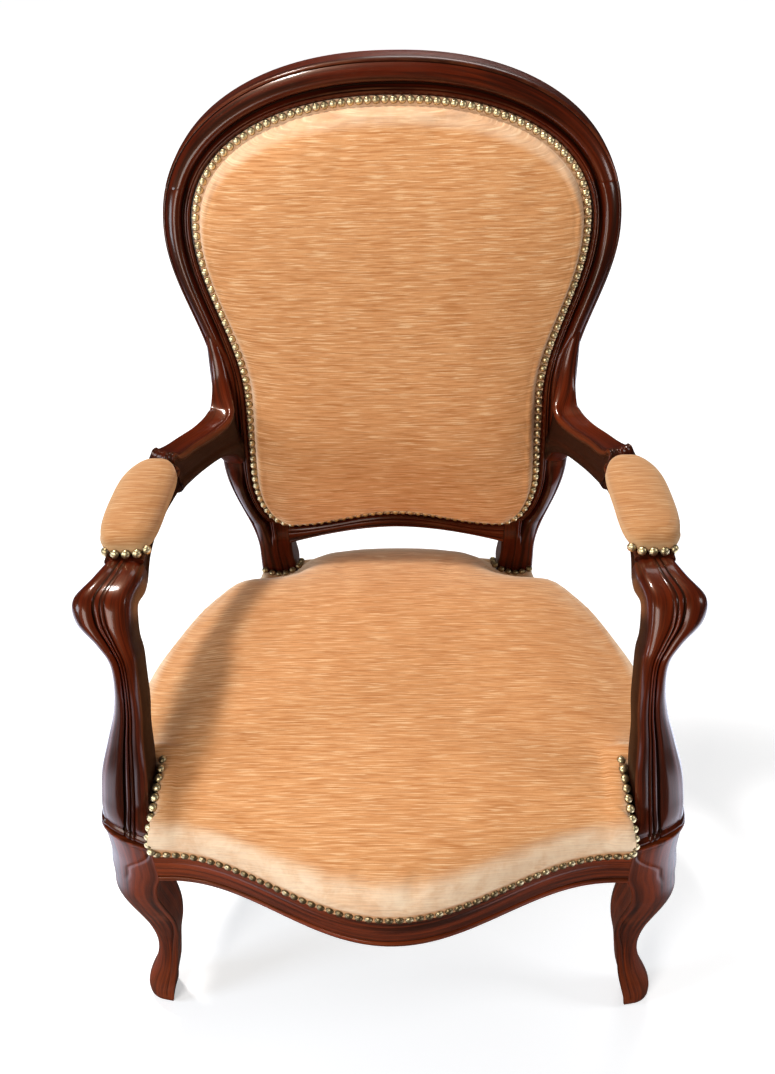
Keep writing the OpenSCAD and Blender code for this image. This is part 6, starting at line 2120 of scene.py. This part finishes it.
    def build(self, shop: Workshop) -> None:
        """Places webbing, springs and dust cover, and dresses the blocks and fixings."""
        shop.place("webbing_seat", self.seat_webbing(), "jute", ("seat_webbing",))
        shop.place("webbing_back", self.back_webbing(), "jute", ("back_webbing",))
        shop.place("springs", self.springs(), "steel", ("seat_springs",))
        sheet, area = self.dust_cover()
        cover = shop.place("lining_under_seat", sheet, "lining", ("dust_cover",))
        for node, finish in (("corner_blocks", "beech"), ("crest_dowels", "beech"),
                             ("arm_dowels", "beech"), ("corner_block_screws", "steel"),
                             ("arm_screws", "steel")):
            shop.dress(node, finish)


@dataclass(frozen=True)
class Lamp:
    """A soft square lamp that looks at the chair."""

    name: str
    place: tuple[float, float, float]
    size: float
    power: float
    colour: Colour


@dataclass
class Studio:
    """Camera at the photograph's angle, pale floor, white surroundings and soft lamps."""

    place: tuple[float, float, float] = (0.035, -0.9647, 1.3289)
    yaw: float = -0.0418
    pitch: float = 0.6714
    roll: float = -0.0318
    focal_px: float = 1075.0
    long_px: float = 1074.0
    shift_px: tuple[float, float] = (0.7, -0.2)
    surround: float = 0.22
    mirrored: float = 0.03
    # Strength of the floor's strips that glow only in reflections: a painted reflection.
    reflection_strips: float = 3.6
    lamps: tuple[Lamp, ...] = (
        Lamp("key", (-0.64, 0.56, 2.50), 0.22, 35.0, (1.0, 0.97, 0.95)),
        Lamp("window", (-2.1, -0.9, 1.3), 0.6, 18.0, (0.76, 0.86, 1.0)),
        Lamp("front", (-1.1, -2.3, 1.9), 1.1, 40.0, (1.0, 0.97, 0.94)),
        Lamp("side", (1.9, -0.4, 1.7), 0.5, 9.0, (0.92, 0.95, 1.0)),
        Lamp("rear", (0.4, 2.2, 2.4), 1.2, 18.0, (1.0, 1.0, 1.0)))

    def camera(self) -> None:
        """Sets the camera from its place and its three angles."""
        fwd = Vector((math.sin(self.yaw) * math.cos(self.pitch),
                      math.cos(self.yaw) * math.cos(self.pitch), -math.sin(self.pitch)))
        right = Vector((math.cos(self.yaw), -math.sin(self.yaw), 0.0))
        up = right.cross(fwd)
        x = right * math.cos(self.roll) + up * math.sin(self.roll)
        y = up * math.cos(self.roll) - right * math.sin(self.roll)
        matrix = Matrix.Identity(4)
        for i in range(3):
            matrix[i] = x[i], y[i], -fwd[i], self.place[i]
        data = bpy.data.cameras.new("camera")
        data.sensor_width = 36.0
        data.lens = self.focal_px * data.sensor_width / self.long_px
        data.shift_x, data.shift_y = (v / self.long_px for v in self.shift_px)
        camera = link("camera", data)
        camera.matrix_world = matrix
        bpy.context.scene.camera = camera

    def light(self) -> None:
        """Hangs the lamps round the chair."""
        for lamp in self.lamps:
            data = bpy.data.lights.new(lamp.name, "AREA")
            data.size, data.energy, data.color = lamp.size, lamp.power, lamp.colour
            holder = link(lamp.name, data)
            holder.location = lamp.place
            aim = Vector((0.0, 0.0, 0.55)) - Vector(lamp.place)
            holder.rotation_euler = aim.to_track_quat("-Z", "Y").to_euler()

    @staticmethod
    def between(t: Tree, share: object, low: object, high: object) -> bpy.types.NodeSocket:
        """A number that goes from low to high with a share."""
        node = t.add("ShaderNodeMix", data_type="FLOAT")
        for socket, value in zip(node.inputs[:1] + node.inputs[2:4], (share, low, high)):
            t.feed(socket, value)
        return node.outputs[0]

    def surroundings(self) -> None:
        """White behind the chair for the camera, and a dimmer even light on the chair."""
        world = bpy.data.worlds.new("studio")
        bpy.context.scene.world = world
        world.use_nodes = True
        t = Tree(world.node_tree)
        out, back = t.add("ShaderNodeOutputWorld"), t.add("ShaderNodeBackground")
        rays = t.add("ShaderNodeLightPath")
        seen = t.calc("MAXIMUM", rays.outputs["Is Camera Ray"], rays.outputs["Is Transmission Ray"])
        strength = self.between(t, rays.outputs["Is Glossy Ray"], self.surround, self.mirrored)
        t.feed(back.inputs["Strength"], self.between(t, seen, strength, 1.0))
        t.feed(back.inputs["Color"], (1.0, 1.0, 1.0))
        t.feed(out.inputs["Surface"], back.outputs[0])

    def floor(self) -> None:
        """A wide pale floor that keeps the chair's shadow. In reflections it paints light and
        shade:
        it shows dark, with bluish glowing strips beside the chair.
        """
        mesh = bpy.data.meshes.new("floor")
        r = 30.0
        mesh.from_pydata([(-r, -r, 0), (r, -r, 0), (r, r, 0), (-r, r, 0)], [], [(0, 1, 2, 3)])
        material = bpy.data.materials.new("pale floor")
        material.use_nodes = True
        t = Tree(material.node_tree)
        out, shader = t.add("ShaderNodeOutputMaterial"), t.add("ShaderNodeBsdfDiffuse")
        glow, both = t.add("ShaderNodeEmission"), t.add("ShaderNodeAddShader")
        rays = t.add("ShaderNodeLightPath")
        reflected = rays.outputs["Is Glossy Ray"]
        # Painted shade in reflections: the floor shows dark there.
        t.feed(shader.inputs["Color"], t.blend(reflected, (0.86, 0.86, 0.86), (0.12, 0.10, 0.09)))
        far = t.add("ShaderNodeVectorMath", operation="LENGTH")
        t.feed(far.inputs[0], t.place())
        white = self.between(t, t.ramp(far.outputs["Value"], 0.6, 3.2), 0.45, 0.8)
        sides = t.add("ShaderNodeSeparateXYZ")
        t.feed(sides.inputs[0], t.place())
        # Painted reflection: strips beside the chair glow bluish, seen only in reflections.
        beside = t.ramp(t.calc("ABSOLUTE", sides.outputs["X"], 0.0), 0.42, 0.62)
        near = t.calc("SUBTRACT", 1.0, t.ramp(far.outputs["Value"], 1.3, 2.4))
        bright = t.times(t.times(beside, near), self.reflection_strips)
        shown = t.times(reflected, bright)
        seen = t.times(rays.outputs["Is Camera Ray"], white)
        t.feed(glow.inputs["Strength"], t.plus(seen, shown))
        t.feed(glow.inputs["Color"], t.blend(reflected, (1.0, 1.0, 1.0), (0.74, 0.81, 1.0)))
        t.feed(both.inputs[0], shader.outputs[0])
        t.feed(both.inputs[1], glow.outputs[0])
        t.feed(out.inputs["Surface"], both.outputs[0])
        mesh.materials.append(material)
        link("floor", mesh)

    def build(self) -> None:
        """Sets camera, lamps, surroundings and floor."""
        self.camera()
        self.light()
        self.surroundings()
        self.floor()
        bpy.context.scene.view_settings.view_transform = "Standard"


FINISHES: list[Finish] = [
    PolishedWood("mahogany", "mahogany"),
    # A lighter copy of the mahogany for the legs and seat rails: painted light.
    PolishedWood("mahogany_seat", "mahogany", dark=(0.028, 0.0048, 0.0018),
                 middle=(0.200, 0.0270, 0.0045), light=(0.33, 0.058, 0.009), gloss=0.4, coat=0.3),
    PlainWood("beech", "pale_wood"),
    Velvet("velvet", "velvet"),
    # A darker copy of the velvet for the arm pads: painted shade.
    Velvet("velvet_arms", "velvet", base=(0.50, 0.237, 0.090), pale=(0.65, 0.41, 0.21),
           deep=(0.38, 0.150, 0.046), rolled_sheen=(0.62, 0.38, 0.18)),
    Woven("jute", "webbing"),
    Woven("lining", "lining", light=(0.045, 0.040, 0.037), dark=(0.012, 0.010, 0.009),
          threads_per_metre=1600.0),
    Metal("brass", "brass", nails=True),
    Metal("steel", "steel", bright=(0.45, 0.44, 0.42), dark=(0.12, 0.10, 0.08), gloss=0.35),
]


def main() -> None:
    """Builds the chair's sub-assemblies in order, then the studio."""
    logging.basicConfig(level=logging.INFO, format="%(message)s")
    shop = Workshop(FINISHES)
    for assembly in (BackFrame(), FrontLeg(), Glides(), ArmSupport(), Arm(), SeatRails(),
                     SeatPad(), BackPad(), ArmPads(), NailRows(), Underside()):
        assembly.build(shop)
    Studio().build()


if __name__ == "__main__":
    main()
